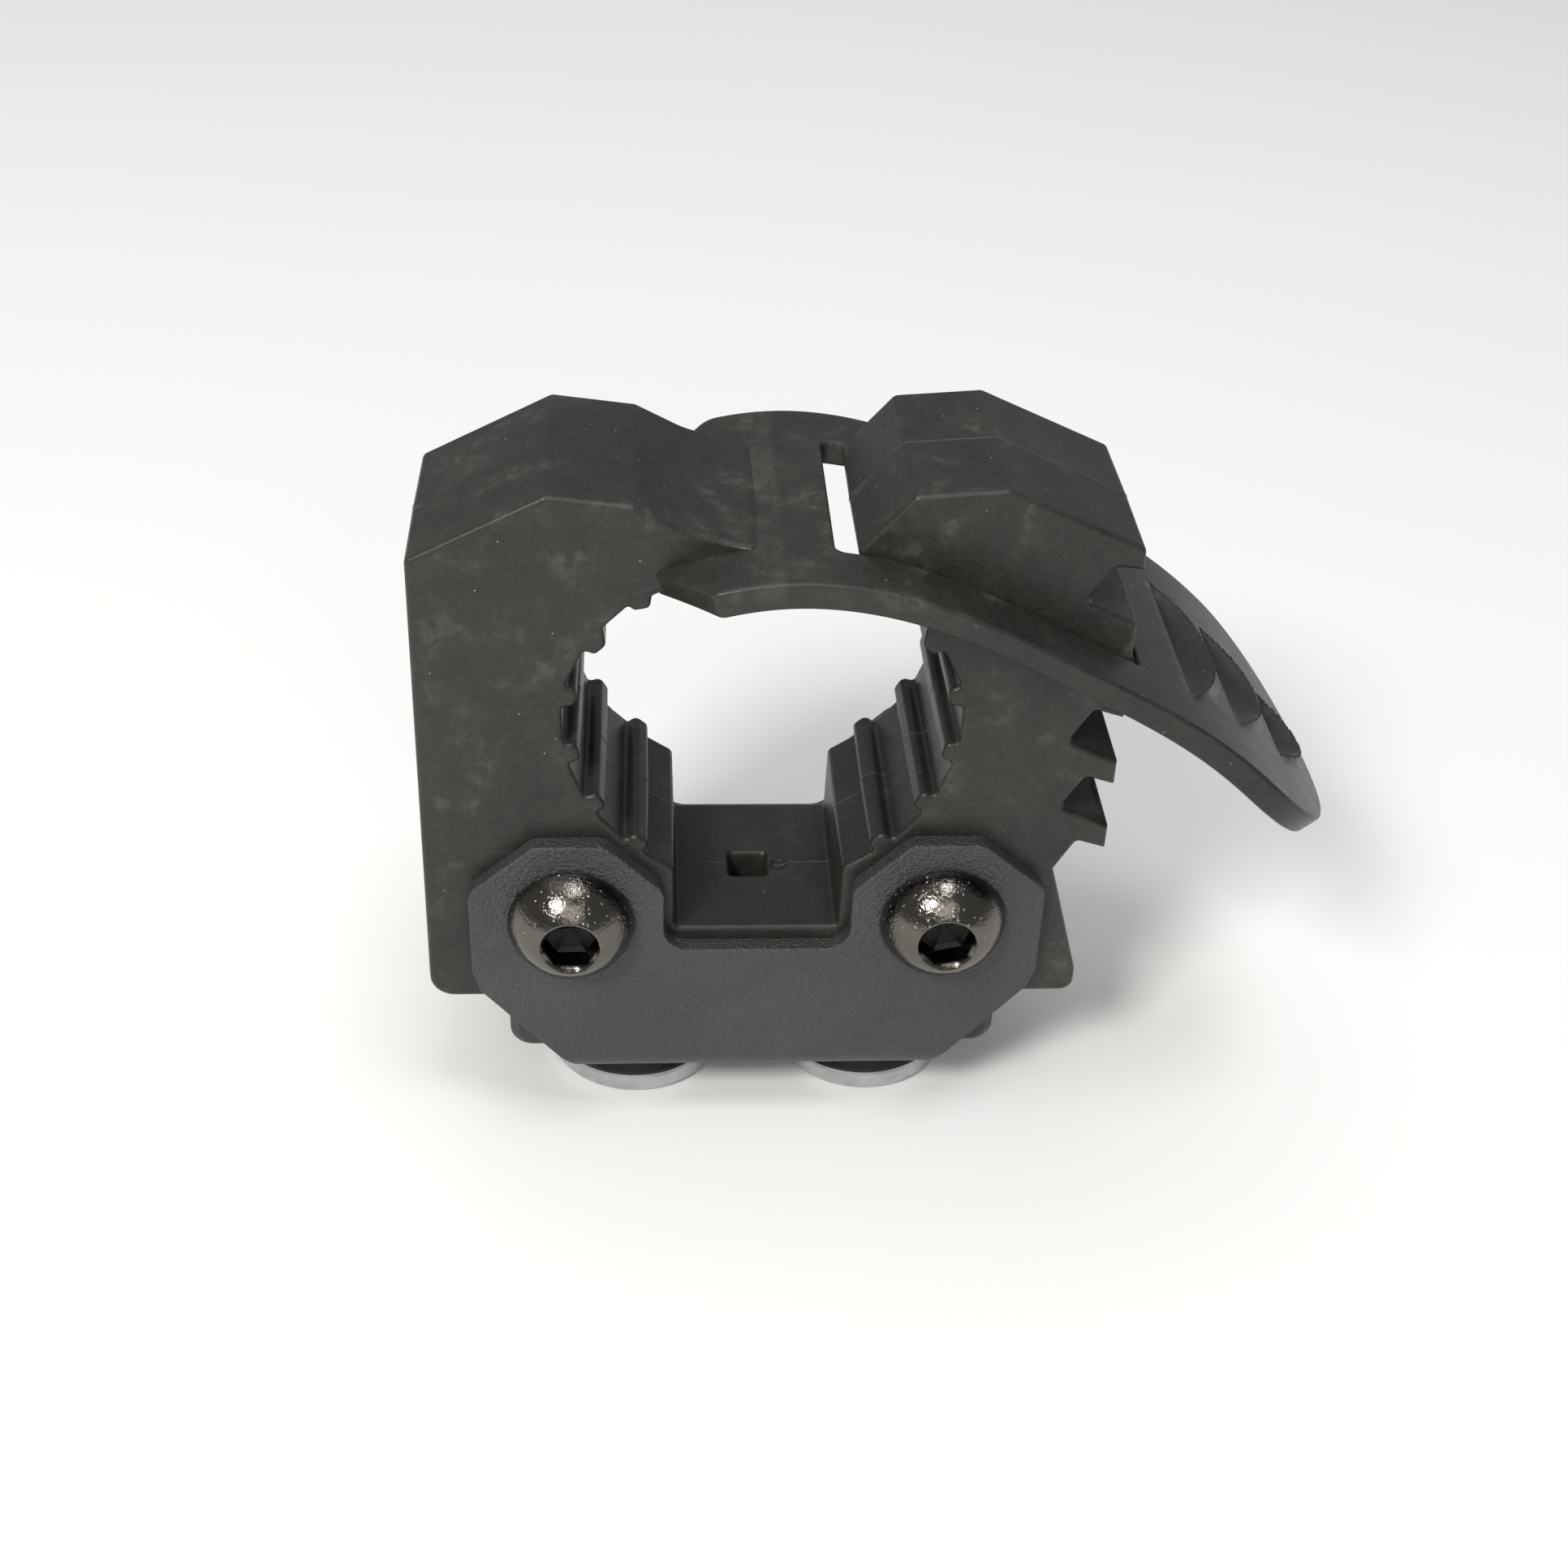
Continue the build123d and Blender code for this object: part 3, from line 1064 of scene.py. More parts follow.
    def _drill(self, piece: bpy.types.Object) -> None:
        """Sink the mould hole, with its drawn-in rim, and a dimple beside it into the notch floor.

        Args:
            piece: the foot.
        """
        flare = [(5.0, -0.4), (1.3, -0.1), (0.6, 0.0), (0.2, 0.22), (0.0, 0.6), (-0.3, 1.5)]
        hole = [(depth, self.hole_half + wider) for depth, wider in flare]
        dimple = [(0.55, 0.25), (0.45, 0.6), (0.2, 0.95), (0.0, 1.15), (-0.3, 1.5)]
        cutters = []
        pits = ((self.hole_middle, hole, 0.32), (self.dimple_middle, dimple, 0.9))
        for middle, sizes, rounding in pits:
            work = self._pit(middle, sizes, rounding)
            cutter = make_object("pit_cutter", work, piece.data.materials[0])
            cutter.modifiers.clear()
            drill = piece.modifiers.new("drill", "BOOLEAN")
            drill.operation = "DIFFERENCE"
            drill.solver = "EXACT"
            drill.object = cutter
            piece.modifiers.move(len(piece.modifiers) - 1, len(cutters))
            cutters.append(cutter)
        settle(piece)
        for cutter in cutters:
            bpy.data.objects.remove(cutter)


# ---- strap -----------------------------------------------------------------------------------


class StrapPath:
    """Smooth line of the strap's upper surface, measured along its length."""

    SAMPLES = 900

    def __init__(self, points: Sequence[Point]) -> None:
        """Lay a smooth line through the points.

        Args:
            points: X and Z of points on the surface, from root to tip.
        """
        knots = [0.0]
        for before, after in zip(points, points[1:]):
            knots.append(knots[-1] + math.dist(before, after))
        xs = self._spline(knots, [p[0] for p in points])
        zs = self._spline(knots, [p[1] for p in points])
        self.line = []
        for step in range(self.SAMPLES + 1):
            knot = knots[-1] * step / self.SAMPLES
            self.line.append(Vector((xs(knot), zs(knot))))
        self.stations = [0.0]
        for before, after in zip(self.line, self.line[1:]):
            self.stations.append(self.stations[-1] + (after - before).length)
        self.length = self.stations[-1]

    @staticmethod
    def _spline(knots: Sequence[float], values: Sequence[float]) -> Callable[[float], float]:
        """Natural cubic spline.

        Args:
            knots: rising places along the line.
            values: what the spline is at the knots.

        Returns:
            A function that gives the spline at any place.
        """
        count = len(knots)
        gaps = [b - a for a, b in zip(knots, knots[1:])]
        slopes = [(values[i + 1] - values[i]) / gaps[i] for i in range(count - 1)]
        diagonal = [1.0] * count
        right = [0.0] * count
        upper = [0.0] * count
        for i in range(1, count - 1):
            diagonal[i] = 2 * (gaps[i - 1] + gaps[i]) - gaps[i - 1] * upper[i - 1]
            upper[i] = gaps[i] / diagonal[i]
            wanted = 6 * (slopes[i] - slopes[i - 1])
            right[i] = (wanted - gaps[i - 1] * right[i - 1]) / diagonal[i]
        bend = [0.0] * count
        for i in range(count - 2, 0, -1):
            bend[i] = right[i] - upper[i] * bend[i + 1]

        def value(knot: float) -> float:
            """Value of the spline at a place.

            Args:
                knot: the place.

            Returns:
                The value.
            """
            i = 0
            while i < count - 2 and knot > knots[i + 1]:
                i += 1
            gap = gaps[i]
            a = (knots[i + 1] - knot) / gap
            b = 1 - a
            curve = ((a**3 - a) * bend[i] + (b**3 - b) * bend[i + 1]) * gap * gap / 6
            return a * values[i] + b * values[i + 1] + curve

        return value

    def station(self, x: float) -> float:
        """Distance along the strap where its surface reaches an X.

        Args:
            x: the X.

        Returns:
            The distance, or the strap's length if it never does.
        """
        for point, station in zip(self.line, self.stations):
            if point.x >= x:
                return station
        return self.length

    def point(self, station: float, rise: float) -> Vector:
        """Place at a distance along the strap and a height over its surface.

        Args:
            station: distance along the strap.
            rise: height over its upper surface.

        Returns:
            X and Z of the place.
        """
        share = min(max(station / self.length, 0.0), 1.0) * self.SAMPLES
        index = min(int(share), self.SAMPLES - 1)
        while index > 0 and self.stations[index] > station:
            index -= 1
        while index < self.SAMPLES - 1 and self.stations[index + 1] < station:
            index += 1
        run = self.line[index + 1] - self.line[index]
        along = run.normalized()
        here = self.line[index] + along * (station - self.stations[index])
        return here + Vector((-along.y, along.x)) * rise


@dataclass(frozen=True)
class Crescent:
    """One thumb grip: a crescent crest with a leaf-shaped scoop on its strap side.

    Args:
        apex_x: X of the crest's apex.
        half_chord: half the distance between its ends.
        bow: distance along the strap from the chord to the apex.
    """

    apex_x: float
    half_chord: float
    bow: float


@dataclass
class Strap:
    """Hooked rubber strap: flared root, window for the catch head, and grip.

    Args:
        half_width: half its full width.
        body_half: half the width of the jaw it grows from.
        tip_x: X of its tip.
        thickness: its thickness at the root.
        thinning: share of the thickness that it loses where it is thinnest.
        thin_at: where that is, as a share of its length.
        thin_spread: how far the thinning spreads, as a share of its length.
        root_x: X where it leaves the jaw.
        flare_x: X where the root has widened to the full width.
        root_seam_x: X of the seam between root and strap.
        grip_seam_x: X of the seam between strap and grip.
        window_start: X where the window starts.
        window_end: X where the window ends beside the teeth.
        window_half: half the window's width.
        bar_lean: slope of the window's end face, which stands upright on the bent strap.
        tip_length: length of the half-ellipse at the tip.
        edge_round: radius of the edges.
        grip_middle: Y of the grips' middle.
        crest: height of the grips.
        scoop: depth of the scoops beside them.
        outer_slope: length of a crest's slope on the tip's side.
        grip_step: fineness of the grip's mesh along the strap.
        grips: the crescents, from the root to the tip.
        path: line of the upper surface, which is worked out.
    """

    half_width: float
    body_half: float
    tip_x: float
    thickness: float = 2.8
    thinning: float = 0.14
    thin_at: float = 0.45
    thin_spread: float = 0.22
    root_x: float = -10.9
    flare_x: float = -5.2
    root_seam_x: float = 3.4
    grip_seam_x: float = 37.9
    window_start: float = 6.2
    window_end: float = 36.0
    window_half: float = 11.3
    bar_lean: float = 0.62
    tip_length: float = 15.2
    edge_round: float = 0.42
    grip_middle: float = -0.6
    crest: float = 1.05
    scoop: float = 0.9
    outer_slope: float = 1.7
    grip_step: float = 0.22
    grips: tuple[Crescent, ...] = (
        Crescent(45.5, 11.3, 4.9),
        Crescent(51.1, 9.3, 5.6),
        Crescent(56.4, 6.0, 5.2),
    )
    path: StrapPath = field(init=False)

    def __post_init__(self) -> None:
        """Lay the strap's line from the jaw's root to the tip."""
        self.path = StrapPath(
            [
                (self.root_x, 60.6),
                (-4.4, 62.7),
                (2.6, 63.6),
                (13.0, 62.0),
                (29.8, 54.3),
                (43.0, 46.6),
                (54.0, 36.4),
                (self.tip_x, 30.2),
            ]
        )

    @classmethod
    def from_frame(cls) -> "Strap":
        """Take the outer sizes from the CAD grip and foot.

        Returns:
            The strap.
        """
        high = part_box("strap_grip")[1]
        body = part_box("clamp_base")[1]
        return cls(half_width=high.y / MM, body_half=body.y / MM, tip_x=high.x / MM)

    def _outline(self) -> Contour:
        """Outer edge in distance along the strap and Y.

        Returns:
            The outline, anticlockwise.
        """
        wide = self.half_width
        flare = self.path.station(self.flare_x)
        middle = self.path.length - self.tip_length
        corners = [Corner(0.0, -self.body_half + 0.6, 0.3), Corner(flare, -wide, 1.3)]
        for step in range(-30, 31):
            angle = math.pi / 2 * step / 30
            corners.append(Corner(middle + self.tip_length * math.cos(angle), wide * math.sin(angle)))
        corners += [Corner(flare, wide, 2.4), Corner(0.0, self.body_half - 0.6, 0.3)]
        return Contour(corners)

    def _window(self) -> Contour:
        """Edge of the window in distance along the strap and Y.

        Returns:
            The outline, clockwise.
        """
        start = self.path.station(self.window_start)
        end = self.path.station(self.window_end)
        side = self.window_half
        root = [Corner(start, -side, 1.0), Corner(start, side, 1.0)]
        return Contour(root + [Corner(end, side, 0.5), Corner(end, -side, 0.5)])

    def _relief(self, station: float, y: float) -> float:
        """Height of the grips over the strap's surface at a place on it.

        Args:
            station: distance along the strap.
            y: place across it.

        Returns:
            The height, negative in the scoops.
        """
        height = 0.0
        for grip in self.grips:
            side = abs(y - self.grip_middle) / grip.half_chord
            if side >= 1:
                continue
            apex = self.path.station(grip.apex_x)
            chord = apex - grip.bow
            crest_at = apex - grip.bow * side**2.2
            fade = 1 - side**3
            beyond = (station - crest_at) / self.outer_slope
            if station <= chord or beyond >= 1:
                continue
            if beyond >= 0:
                height = max(height, self.crest * fade * (1 - beyond) ** 1.8)
            else:
                share = (station - chord) / (crest_at - chord)
                hollow = math.sin(math.pi * share**0.8) ** 0.8
                height = self.crest * fade * share**4 - self.scoop * fade * hollow * (1 - share**3)
        return height

    def _thickness(self, station: float) -> float:
        """Share of the full thickness, which is less halfway along.

        Args:
            station: distance along the strap.

        Returns:
            The share.
        """
        share = station / self.path.length
        return 1 - self.thinning * math.exp(-(((share - self.thin_at) / self.thin_spread) ** 2))

    def plate(self) -> bmesh.types.BMesh:
        """The strap laid out flat: distance along it, Y, and height over its surface.

        Returns:
            A closed mesh, in millimetres.
        """
        work = bmesh.new()
        levels = rounded_levels(-self.thickness, 0.0, self.edge_round, 0.0, 4)
        tops, bottoms = [], []
        window = self._window()
        bar = self.path.station(self.window_end)
        for contour in (self._outline(), window):
            loops = []
            for level in levels:
                outline = [Vector((p.x, p.y, level.depth)) for p in contour.shrunk(level.inset)]
                if contour is window:
                    for point in outline:
                        point.x -= level.depth * self.bar_lean * float(point.x > bar - 2)
                loops.append(outline)
            bottom, top = add_wall(work, loops)
            bottoms += bottom
            tops += top
        for edges in (bottoms, tops):
            bmesh.ops.triangle_fill(work, use_beauty=True, use_dissolve=False, edges=edges)
        bmesh.ops.recalc_face_normals(work, faces=work.faces)
        count = int(self.path.length)
        slice_along(work, 0, [i + 0.5 for i in range(count)], lambda face: True)
        return work

    def _refine_grip(self, work: bmesh.types.BMesh) -> None:
        """Score the grip's upper face finely and raise its crests.

        Args:
            work: the grip, laid out flat, which is changed.
        """
        reach, start, step, rows = 13.0, 12.3, 0.3, 81
        first = self.path.station(self.grips[0].apex_x) - self.grips[0].bow - 0.4

        def upper(face: bmesh.types.BMFace) -> bool:
            """Tell whether a face is on the flat upper side of the grip."""
            middle = face.calc_center_median()
            return middle.z > -FLAT and middle.x > first and abs(middle.y) < reach

        count = int((self.path.length - first) / self.grip_step)
        slice_along(work, 0, [first + self.grip_step * i for i in range(count)], upper)
        slice_along(work, 1, [step * i - start for i in range(rows)], upper)
        for vert in work.verts:
            if vert.co.z > -FLAT:
                vert.co.z += self._relief(vert.co.x, vert.co.y)

    def _bend(self, work: bmesh.types.BMesh) -> bmesh.types.BMesh:
        """Lay a flat part of the strap onto its line.

        Args:
            work: the part, laid out flat in millimetres, which is changed.

        Returns:
            The same mesh, bent and in metres.
        """
        for vert in work.verts:
            station, y, rise = vert.co
            place = self.path.point(station, rise * self._thickness(station))
            vert.co = Vector((place.x, y, place.y)) * MM
        bmesh.ops.recalc_face_normals(work, faces=work.faces)
        return work

    def build(self, rubber: bpy.types.Material) -> None:
        """Make root, strap and grip, and tie the strap to its body.

        Args:
            rubber: finish of the strap.
        """
        flat = self.plate()
        along = Vector((1, 0, 0))
        root_end = Vector((self.path.station(self.root_seam_x), 0, 0))
        grip_start = Vector((self.path.station(self.grip_seam_x), 0, 0))
        root = cut_away(flat, root_end, along, True)
        rest = cut_away(flat, root_end, along, False)
        strap = cut_away(rest, grip_start, along, True)
        grip = cut_away(rest, grip_start, along, False)
        self._refine_grip(grip)
        made = []
        for name, part in (("strap_root", root), ("strap_window", strap), ("strap_grip_pad", grip)):
            piece = make_object(name, self._bend(part), rubber, 60.0)
            made.append(piece)
            LOG.info("%s: %d faces", piece.name, len(piece.data.polygons))
        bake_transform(made[0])
        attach(made[1], "strap")
        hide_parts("strap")
        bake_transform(made[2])
        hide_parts("strap_grip")
        flat.free()
        rest.free()


# ---- bracket and spacer ----------------------------------------------------------------------


@dataclass
class EdgedCopy:
    """A CAD node given rounded edges.

    Args:
        node: name of the CAD node.
        name: name of the new piece.
        slot: material slot of the record; not used.
        width: radius of the edges.
        segments: steps in each edge.
    """

    node: str
    name: str
    slot: str
    width: float
    segments: int = 3

    def build(self, material: bpy.types.Material) -> bpy.types.Object:
        """Copy the node, round its edges and let the copy stand for it.

        Args:
            material: finish of the piece.

        Returns:
            The new piece.
        """
        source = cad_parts[self.node]
        work = bmesh.new()
        work.from_mesh(source.data)
        bmesh.ops.remove_doubles(work, verts=work.verts, dist=1e-6)
        bmesh.ops.dissolve_limit(
            work, angle_limit=math.radians(0.5), verts=work.verts, edges=work.edges
        )
        bmesh.ops.recalc_face_normals(work, faces=work.faces)
        piece = make_object(self.name, work, material)
        bevel = piece.modifiers.new("edges", "BEVEL")
        bevel.width = self.width * MM
        bevel.segments = self.segments
        bevel.limit_method = "ANGLE"
        bevel.angle_limit = math.radians(35)
        piece.modifiers.move(1, 0)
        settle(piece)
        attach(piece, "frame")
        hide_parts(self.node)
        LOG.info("%s: %d faces", piece.name, len(piece.data.polygons))
        return piece


# ---- turned parts ----------------------------------------------------------------------------


@dataclass(frozen=True)
class Station:
    """One point of a turned part's profile.

    Args:
        radius: distance from the axis, or half the flats where it is six-sided.
        height: height along the axis.
        six_sided: True inside a hexagon socket.
    """

    radius: float
    height: float
    six_sided: bool = False


class TurnedTree(Sheet):
    """Geometry nodes that turn a profile about Z and set copies out in rows and columns."""

    INPUTS = {
        "Around": ("NodeSocketInt", 96),
        "Columns": ("NodeSocketInt", 2),
        "Rows": ("NodeSocketInt", 1),
        "Column Spacing": ("NodeSocketFloat", 0.03),
        "Row Spacing": ("NodeSocketFloat", 0.0),
        "Height": ("NodeSocketFloat", 0.0),
        "Tilt": ("NodeSocketFloat", 0.0),
        "Roll": ("NodeSocketFloat", 0.0),
        "Seed": ("NodeSocketInt", 5),
        "Finish": ("NodeSocketMaterial", None),
    }

    def __init__(self) -> None:
        """Build the tree."""
        tree = bpy.data.node_groups.new("turned_parts", "GeometryNodeTree")
        super().__init__(tree)
        tree.interface.new_socket("Geometry", in_out="INPUT", socket_type="NodeSocketGeometry")
        for name, (kind, default) in self.INPUTS.items():
            socket = tree.interface.new_socket(name, in_out="INPUT", socket_type=kind)
            if default is not None:
                socket.default_value = default
        tree.interface.new_socket("Geometry", in_out="OUTPUT", socket_type="NodeSocketGeometry")
        source = self.node("NodeGroupInput", {}, {})
        given = {socket.name: Wire(self, socket) for socket in source.outputs if socket.name}
        turned = self._turn(given)
        placed = self._set_out(given, turned)
        real = self.add("GeometryNodeRealizeInstances", {}, {0: placed})
        values = {"Geometry": real, "Material": given["Finish"]}
        dressed = self.add("GeometryNodeSetMaterial", {}, values)
        self.node("NodeGroupOutput", {}, {0: dressed})

    def _vector(self, x: Wire | float, y: Wire | float, z: Wire | float) -> Wire:
        """Vector of three values."""
        return self.add("ShaderNodeCombineXYZ", {}, {0: x, 1: y, 2: z})

    def _turn(self, given: dict[str, Wire]) -> Wire:
        """Turn the profile into a closed body, six-sided where it says so.

        Args:
            given: the tree's inputs.

        Returns:
            The body's geometry.
        """
        rows = self.add("GeometryNodeAttributeDomainSize", {}, {0: given["Geometry"]})
        around = given["Around"]
        values = {0: around * 1.0, 1: rows - 1, 2: around + 1, 3: rows}
        grid = self.add("GeometryNodeMeshGrid", {}, values)
        place = self.add("GeometryNodeInputPosition", {}, {})
        apart = self.node("ShaderNodeSeparateXYZ", {}, {0: place})
        column = Wire(self, apart.outputs[0]) + around * 0.5
        row = Wire(self, apart.outputs[1]) + (rows - 1) * 0.5
        settings = {"data_type": "FLOAT_VECTOR", "domain": "POINT"}
        values = {"Geometry": given["Geometry"], "Value": place, "Index": row.apply("ROUND")}
        sampled = self.add("GeometryNodeSampleIndex", settings, values)
        profile = self.node("ShaderNodeSeparateXYZ", {}, {0: sampled})
        radius, mark, height = (Wire(self, socket) for socket in profile.outputs)
        angle = column / around * math.tau
        sixth = (angle % (math.tau / 6)) - math.tau / 12
        flats = 1 / sixth.apply("COSINE")
        reach = radius * (1 + (flats - 1) * (mark / MM))
        moved = self._vector(reach * angle.apply("COSINE"), reach * angle.apply("SINE"), height)
        body = self.add("GeometryNodeSetPosition", {}, {"Geometry": grid, "Position": moved})
        values = {"Geometry": body, "Distance": WELD}
        closed = self.add("GeometryNodeMergeByDistance", {}, values)
        bend = self.add("GeometryNodeInputMeshEdgeAngle", {}, {})
        soft = bend.apply("LESS_THAN", math.radians(38))
        values = {"Geometry": closed, "Shade Smooth": soft}
        return self.add("GeometryNodeSetShadeSmooth", {"domain": "EDGE"}, values)

    def _set_out(self, given: dict[str, Wire], turned: Wire) -> Wire:
        """Put copies at the crossings of the rows and columns, tilted outwards.

        Args:
            given: the tree's inputs.
            turned: geometry of the turned body.

        Returns:
            The copies, as instances.
        """
        count = given["Columns"] * given["Rows"]
        index = self.add("GeometryNodeInputIndex", {}, {})
        column = index % given["Columns"]
        row = (index / given["Columns"]).apply("FLOOR")
        x = (column - (given["Columns"] - 1) * 0.5) * given["Column Spacing"]
        side = row - (given["Rows"] - 1) * 0.5
        place = self._vector(x, side * given["Row Spacing"], given["Height"])
        points = self.add("GeometryNodePoints", {}, {"Count": count, "Position": place})
        values = {2: -1.0, 3: 1.0, "Seed": given["Seed"]}
        chance = self.node("FunctionNodeRandomValue", {"data_type": "FLOAT"}, values)
        roll = given["Roll"] * Wire(self, chance.outputs[1])
        tilt = side * given["Tilt"] * -2.0
        turn = self._vector(tilt, 0.0, 0.0)
        spin = self._vector(0.0, 0.0, roll)
        values = {"Points": points, "Instance": turned, "Rotation": turn}
        copies = self.add("GeometryNodeInstanceOnPoints", {}, values)
        values = {"Instances": copies, "Rotation": spin}
        return self.add("GeometryNodeRotateInstances", {}, values)


@dataclass
class TurnedSet:
    """A set of equal turned parts, made as one piece.

    Args:
        name: name of the piece.
        nodes: CAD nodes it stands for.
        slot: material slot of the record; not used.
        profile: stations from one pole to the other.
        columns: copies along X.
        rows: copies along Y.
        column_spacing: distance between columns.
        row_spacing: distance between rows.
        height: height of the copies' origin.
        tilt: angle by which the rows lean outwards, in degrees.
        around: points around the axis.
    """

    name: str
    nodes: tuple[str, ...]
    slot: str
    profile: list[Station]
    columns: int
    rows: int
    column_spacing: float
    row_spacing: float
    height: float
    tilt: float
    around: int = 96

    def build(self, tree: TurnedTree, material: bpy.types.Material) -> bpy.types.Object:
        """Run the tree on the profile and keep the result as a plain mesh.

        Args:
            tree: the turning tree.
            material: finish of the parts.

        Returns:
            The new piece.
        """
        mesh = bpy.data.meshes.new(self.name)
        points = [(s.radius * MM, float(s.six_sided) * MM, s.height * MM) for s in self.profile]
        mesh.from_pydata(points, [(i, i + 1) for i in range(len(points) - 1)], [])
        piece = linked(self.name, mesh)
        turning = piece.modifiers.new("turning", "NODES")
        turning.node_group = tree.tree
        sizes = {
            "Around": self.around,
            "Columns": self.columns,
            "Rows": self.rows,
            "Column Spacing": self.column_spacing * MM,
            "Row Spacing": self.row_spacing * MM,
            "Height": self.height * MM,
            "Tilt": math.radians(self.tilt),
            "Roll": math.radians(12.0),
            "Seed": 5,
            "Finish": material,
        }
        for item in tree.tree.interface.items_tree:
            if item.in_out == "INPUT" and item.name in sizes:
                turning[item.identifier] = sizes[item.name]
        settle(piece)
        work = bmesh.new()
        work.from_mesh(piece.data)
        bmesh.ops.recalc_face_normals(work, faces=work.faces)
        work.to_mesh(piece.data)
        work.free()
        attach(piece, "frame")
        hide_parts(*self.nodes)
        LOG.info("%s: %d faces", piece.name, len(piece.data.polygons))
        return piece


@dataclass
class Fasteners:
    """Button screws of the clamp and tee studs of the track.

    Args:
        head_height: height of a screw head.
        socket: distance across the socket's flats.
        socket_depth: depth of the socket.
        ring: radius of the raised ring round the socket.
    """

    head_height: float = 4.4
    socket: float = 5.0
    socket_depth: float = 3.0
    ring: float = 3.12

    def _head(self, head_radius: float) -> list[Station]:
        """Profile of a button head from the bottom of its socket to its shank.

        Args:
            head_radius: radius of the head.

        Returns:
            The profile's stations.
        """
        top = self.head_height
        half = self.socket / 2
        stations = [
            Station(0.0, top - self.socket_depth - 0.6),
            Station(half - 0.5, top - self.socket_depth, True),
            Station(half, top - self.socket_depth + 0.3, True),
            Station(half, top - 0.62, True),
            Station(half + 0.05, top - 0.5, True),
            Station(half + 0.3, top - 0.3),
            Station(self.ring - 0.12, top - 0.05),
            Station(self.ring, top),
            Station(self.ring + 0.1, top - 0.01),
        ]
        rim = 0.45
        inner = self.ring + 0.16
        centre = ((top**2 + inner**2) - (rim**2 + head_radius**2)) / (2 * (top - rim))
        radius = math.hypot(head_radius, rim - centre)
        first = math.asin(inner / radius)
        last = math.acos((rim - centre) / radius)
        for step in range(21):
            angle = first + (last - first) * step / 20
            height = centre + radius * math.cos(angle) - 0.04
            stations.append(Station(radius * math.sin(angle), height))
        stations += [
            Station(head_radius - 0.06, 0.2),
            Station(head_radius - 0.3, 0.05),
            Station(head_radius - 0.6, 0.0),
            Station(4.0, 0.0),
            Station(4.0, -8.5),
            Station(3.5, -9.0),
            Station(0.0, -9.0),
        ]
        return stations

    def build(self, tree: TurnedTree, nickel: bpy.types.Material, zinc: bpy.types.Material) -> None:
        """Make the screws and studs.

        Args:
            tree: the turning tree.
            nickel: finish of the screws.
            zinc: finish of the studs.
        """
        sides = ("front_left", "front_right", "back_left", "back_right")
        low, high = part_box("clamp_screw_front_right")
        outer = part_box("bracket")[1].y / MM
        TurnedSet(
            name="clamp_screws",
            nodes=tuple("clamp_screw_" + side for side in sides),
            slot="screw_black_nickel",
            profile=self._head((high.x - low.x) / 2 / MM),
            columns=2,
            rows=2,
            column_spacing=(low.x + high.x) / MM,
            row_spacing=2 * outer,
            height=(low.z + high.z) / 2 / MM,
            tilt=90.0,
        ).build(tree, nickel)
        low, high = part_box("track_stud_right")
        top, bottom = high.z / MM, low.z / MM
        disc = [(0.0, 0.0), (8.6, 0.0), (9.1, 0.2), (9.4, 0.6), (9.4, 2.2), (9.25, 2.5), (8.9, 2.6)]
        neck = [(5.3, 2.6), (5.0, 2.9)]
        stud = [Station(radius, bottom + rise) for radius, rise in disc + neck]
        stud += [Station(5.0, -0.15), Station(4.8, 0.0), Station(4.0, 0.0)]
        height = 0.4
        while height < top - 1.0:
            stud.append(Station(4.0, height))
            stud.append(Station(3.55, height + 0.55))
            height += 1.1
        stud += [Station(3.9, top - 0.6), Station(3.4, top), Station(0.0, top)]
        TurnedSet(
            name="track_studs",
            nodes=("track_stud_left", "track_stud_right"),
            slot="zinc_steel",
            profile=stud,
            columns=2,
            rows=1,
            column_spacing=(low.x + high.x) / MM,
            row_spacing=0.0,
            height=0.0,
            tilt=0.0,
            around=72,
        ).build(tree, zinc)


# ---- studio ----------------------------------------------------------------------------------


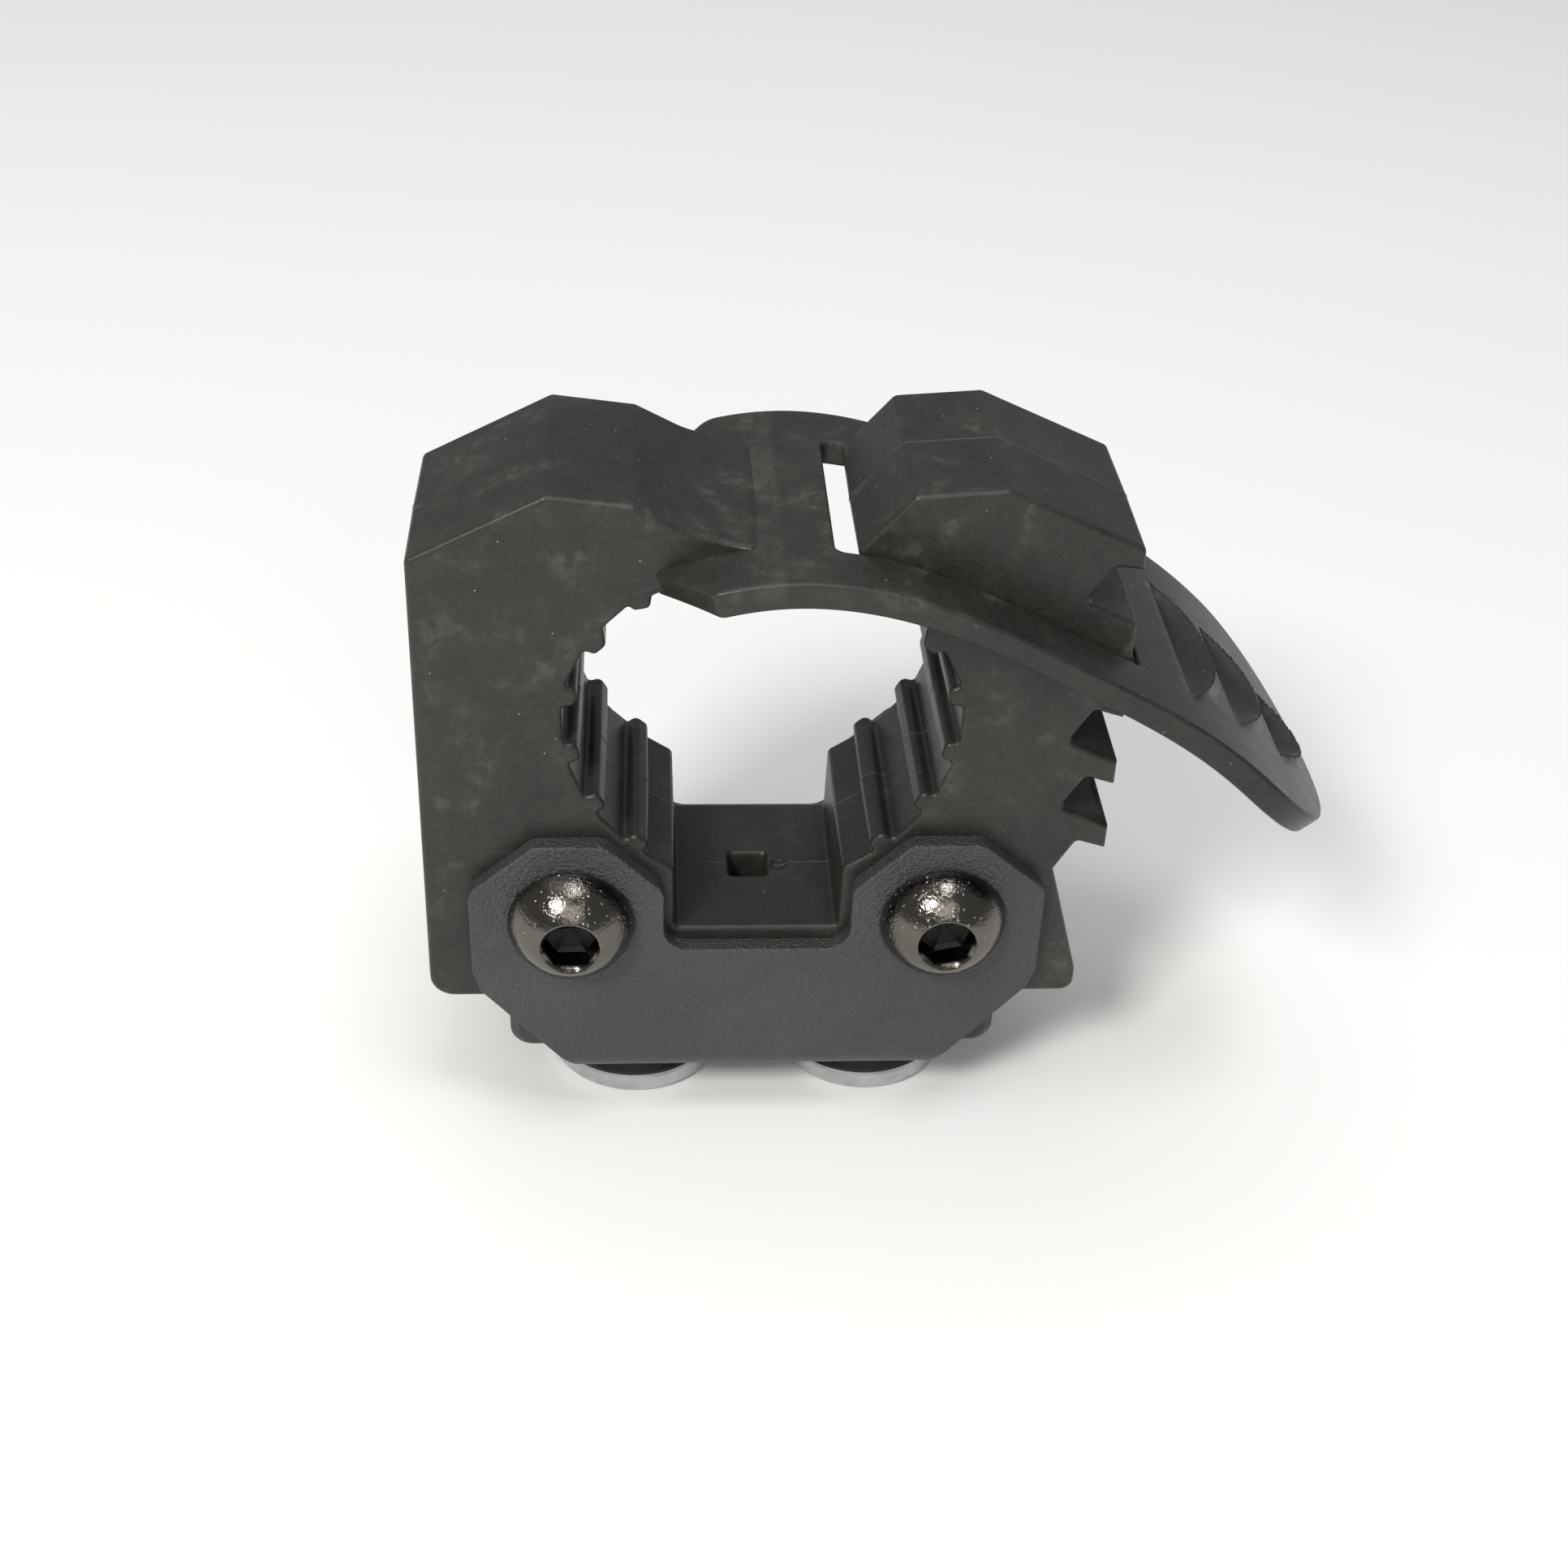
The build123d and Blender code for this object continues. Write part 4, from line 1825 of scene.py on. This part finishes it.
@dataclass
class Studio:
    """Pale floor, soft lights and camera.

    Args:
        eye: place of the camera.
        pitch: how far it looks down, in degrees.
        heading: how far it is turned to the right.
        roll: how far it leans.
        lens: focal length on a 36 mm sensor.
    """

    eye: tuple[float, float, float] = (-10.96, -187.60, 161.12)
    pitch: float = 35.06
    heading: float = 4.288
    roll: float = 2.259
    lens: float = 50.11

    def _camera(self) -> None:
        """Place the camera."""
        pitch, heading, roll = (math.radians(a) for a in (self.pitch, self.heading, self.roll))
        ahead = Vector(
            (math.sin(heading) * math.cos(pitch), math.cos(heading) * math.cos(pitch), -math.sin(pitch))
        )
        right = Vector((math.cos(heading), -math.sin(heading), 0))
        up = right.cross(ahead)
        across = math.cos(roll) * right + math.sin(roll) * up
        above = -math.sin(roll) * right + math.cos(roll) * up
        data = bpy.data.cameras.new("camera")
        data.lens = self.lens
        data.sensor_width = 36.0
        data.clip_start = 0.01
        camera = linked("camera", data)
        turn = Matrix((across, above, -ahead)).transposed().to_4x4()
        camera.matrix_world = Matrix.Translation(Vector(self.eye) * MM) @ turn
        bpy.context.scene.camera = camera

    def _light(
        self, name: str, place: tuple, target: tuple, size: tuple[float, float], power: float, tint: tuple
    ) -> None:
        """Hang one soft box.

        Args:
            name: name of the light.
            place: where it hangs, in metres.
            target: what it faces, in metres.
            size: width and height in metres.
            power: in watts.
            tint: its colour.
        """
        data = bpy.data.lights.new(name, "AREA")
        data.shape = "RECTANGLE"
        data.size, data.size_y = size
        data.energy = power
        data.color = tint
        light = linked(name, data)
        aim = Vector(target) - Vector(place)
        turn = aim.to_track_quat("-Z", "Y").to_matrix().to_4x4()
        light.matrix_world = Matrix.Translation(place) @ turn

    def _floor(self) -> None:
        """Lay the pale floor under the studs."""
        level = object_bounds()[0][2]
        reach = 3.0
        work = bmesh.new()
        signs = ((-1, -1), (1, -1), (1, 1), (-1, 1))
        work.faces.new([work.verts.new((x * reach, y * reach, level)) for x, y in signs])
        paint = Paint("pale_floor")
        tone = paint.mix(paint.noise(0.004, 2.0), grey(0.86), grey(0.90))
        material = paint.finish({"Base Color": tone, "Roughness": 0.85, "Specular IOR Level": 0.2})
        mesh = bpy.data.meshes.new("floor")
        work.to_mesh(mesh)
        work.free()
        mesh.materials.append(material)
        floor = linked("floor", mesh)
        floor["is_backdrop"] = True

    def build(self) -> None:
        """Set up floor, lights, surroundings and camera."""
        self._floor()
        middle = (0, 0, 0.03)
        self._light("key", (-0.46, -0.66, 0.78), middle, (0.25, 0.25), 8.5, (1.0, 0.97, 0.93))
        self._light("over", (0.10, -0.28, 1.15), middle, (0.35, 0.35), 3.0, (0.95, 0.99, 1.0))
        self._light("fill", (0.05, -0.85, 0.65), middle, (0.6, 0.5), 2.0, (1.0, 0.98, 0.95))
        self._light("top", (0.0, 0.35, 1.2), (0, 0.1, 0), (1.6, 1.3), 5.0, (0.95, 1.0, 0.95))
        world = bpy.data.worlds.new("surroundings")
        world.use_nodes = True
        sky = world.node_tree.nodes["Background"]
        sky.inputs["Color"].default_value = grey(1.0)
        sky.inputs["Strength"].default_value = 0.25
        bpy.context.scene.world = world
        bpy.context.scene.view_settings.view_transform = "Standard"
        self._camera()


# ---- assembly --------------------------------------------------------------------------------


def dress_hidden_nodes(zinc: bpy.types.Material) -> None:
    """Give the sleeves, washers and nuts their zinc finish.

    Args:
        zinc: the finish.
    """
    for part in ("threaded_sleeve", "stud_washer", "stud_nut"):
        for side in ("left", "right"):
            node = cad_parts[f"{part}_{side}"]
            node.data.materials.clear()
            node.data.materials.append(zinc)
            LOG.info("%s: zinc finish", node.name)


def main() -> None:
    """Build every piece in order."""
    logging.basicConfig(level=logging.INFO, format="%(name)s: %(message)s")
    rubber = RubberFinish()
    zinc = ZincSteel().build()
    coat = PowderCoat().build()
    Moulding.from_frame().build(rubber.build(RubberPart.MOULDING))
    Strap.from_frame().build(rubber.build(RubberPart.STRAP))
    EdgedCopy("bracket", "folded_bracket", "black_powder_coat", 0.28).build(coat)
    EdgedCopy("spacer_block", "spacer", "spacer_black", 0.3, 2).build(SpacerPlastic().build())
    tree = TurnedTree()
    Fasteners().build(tree, BlackNickel().build(), zinc)
    dress_hidden_nodes(zinc)
    Studio().build()


if __name__ == "__main__":
    main()
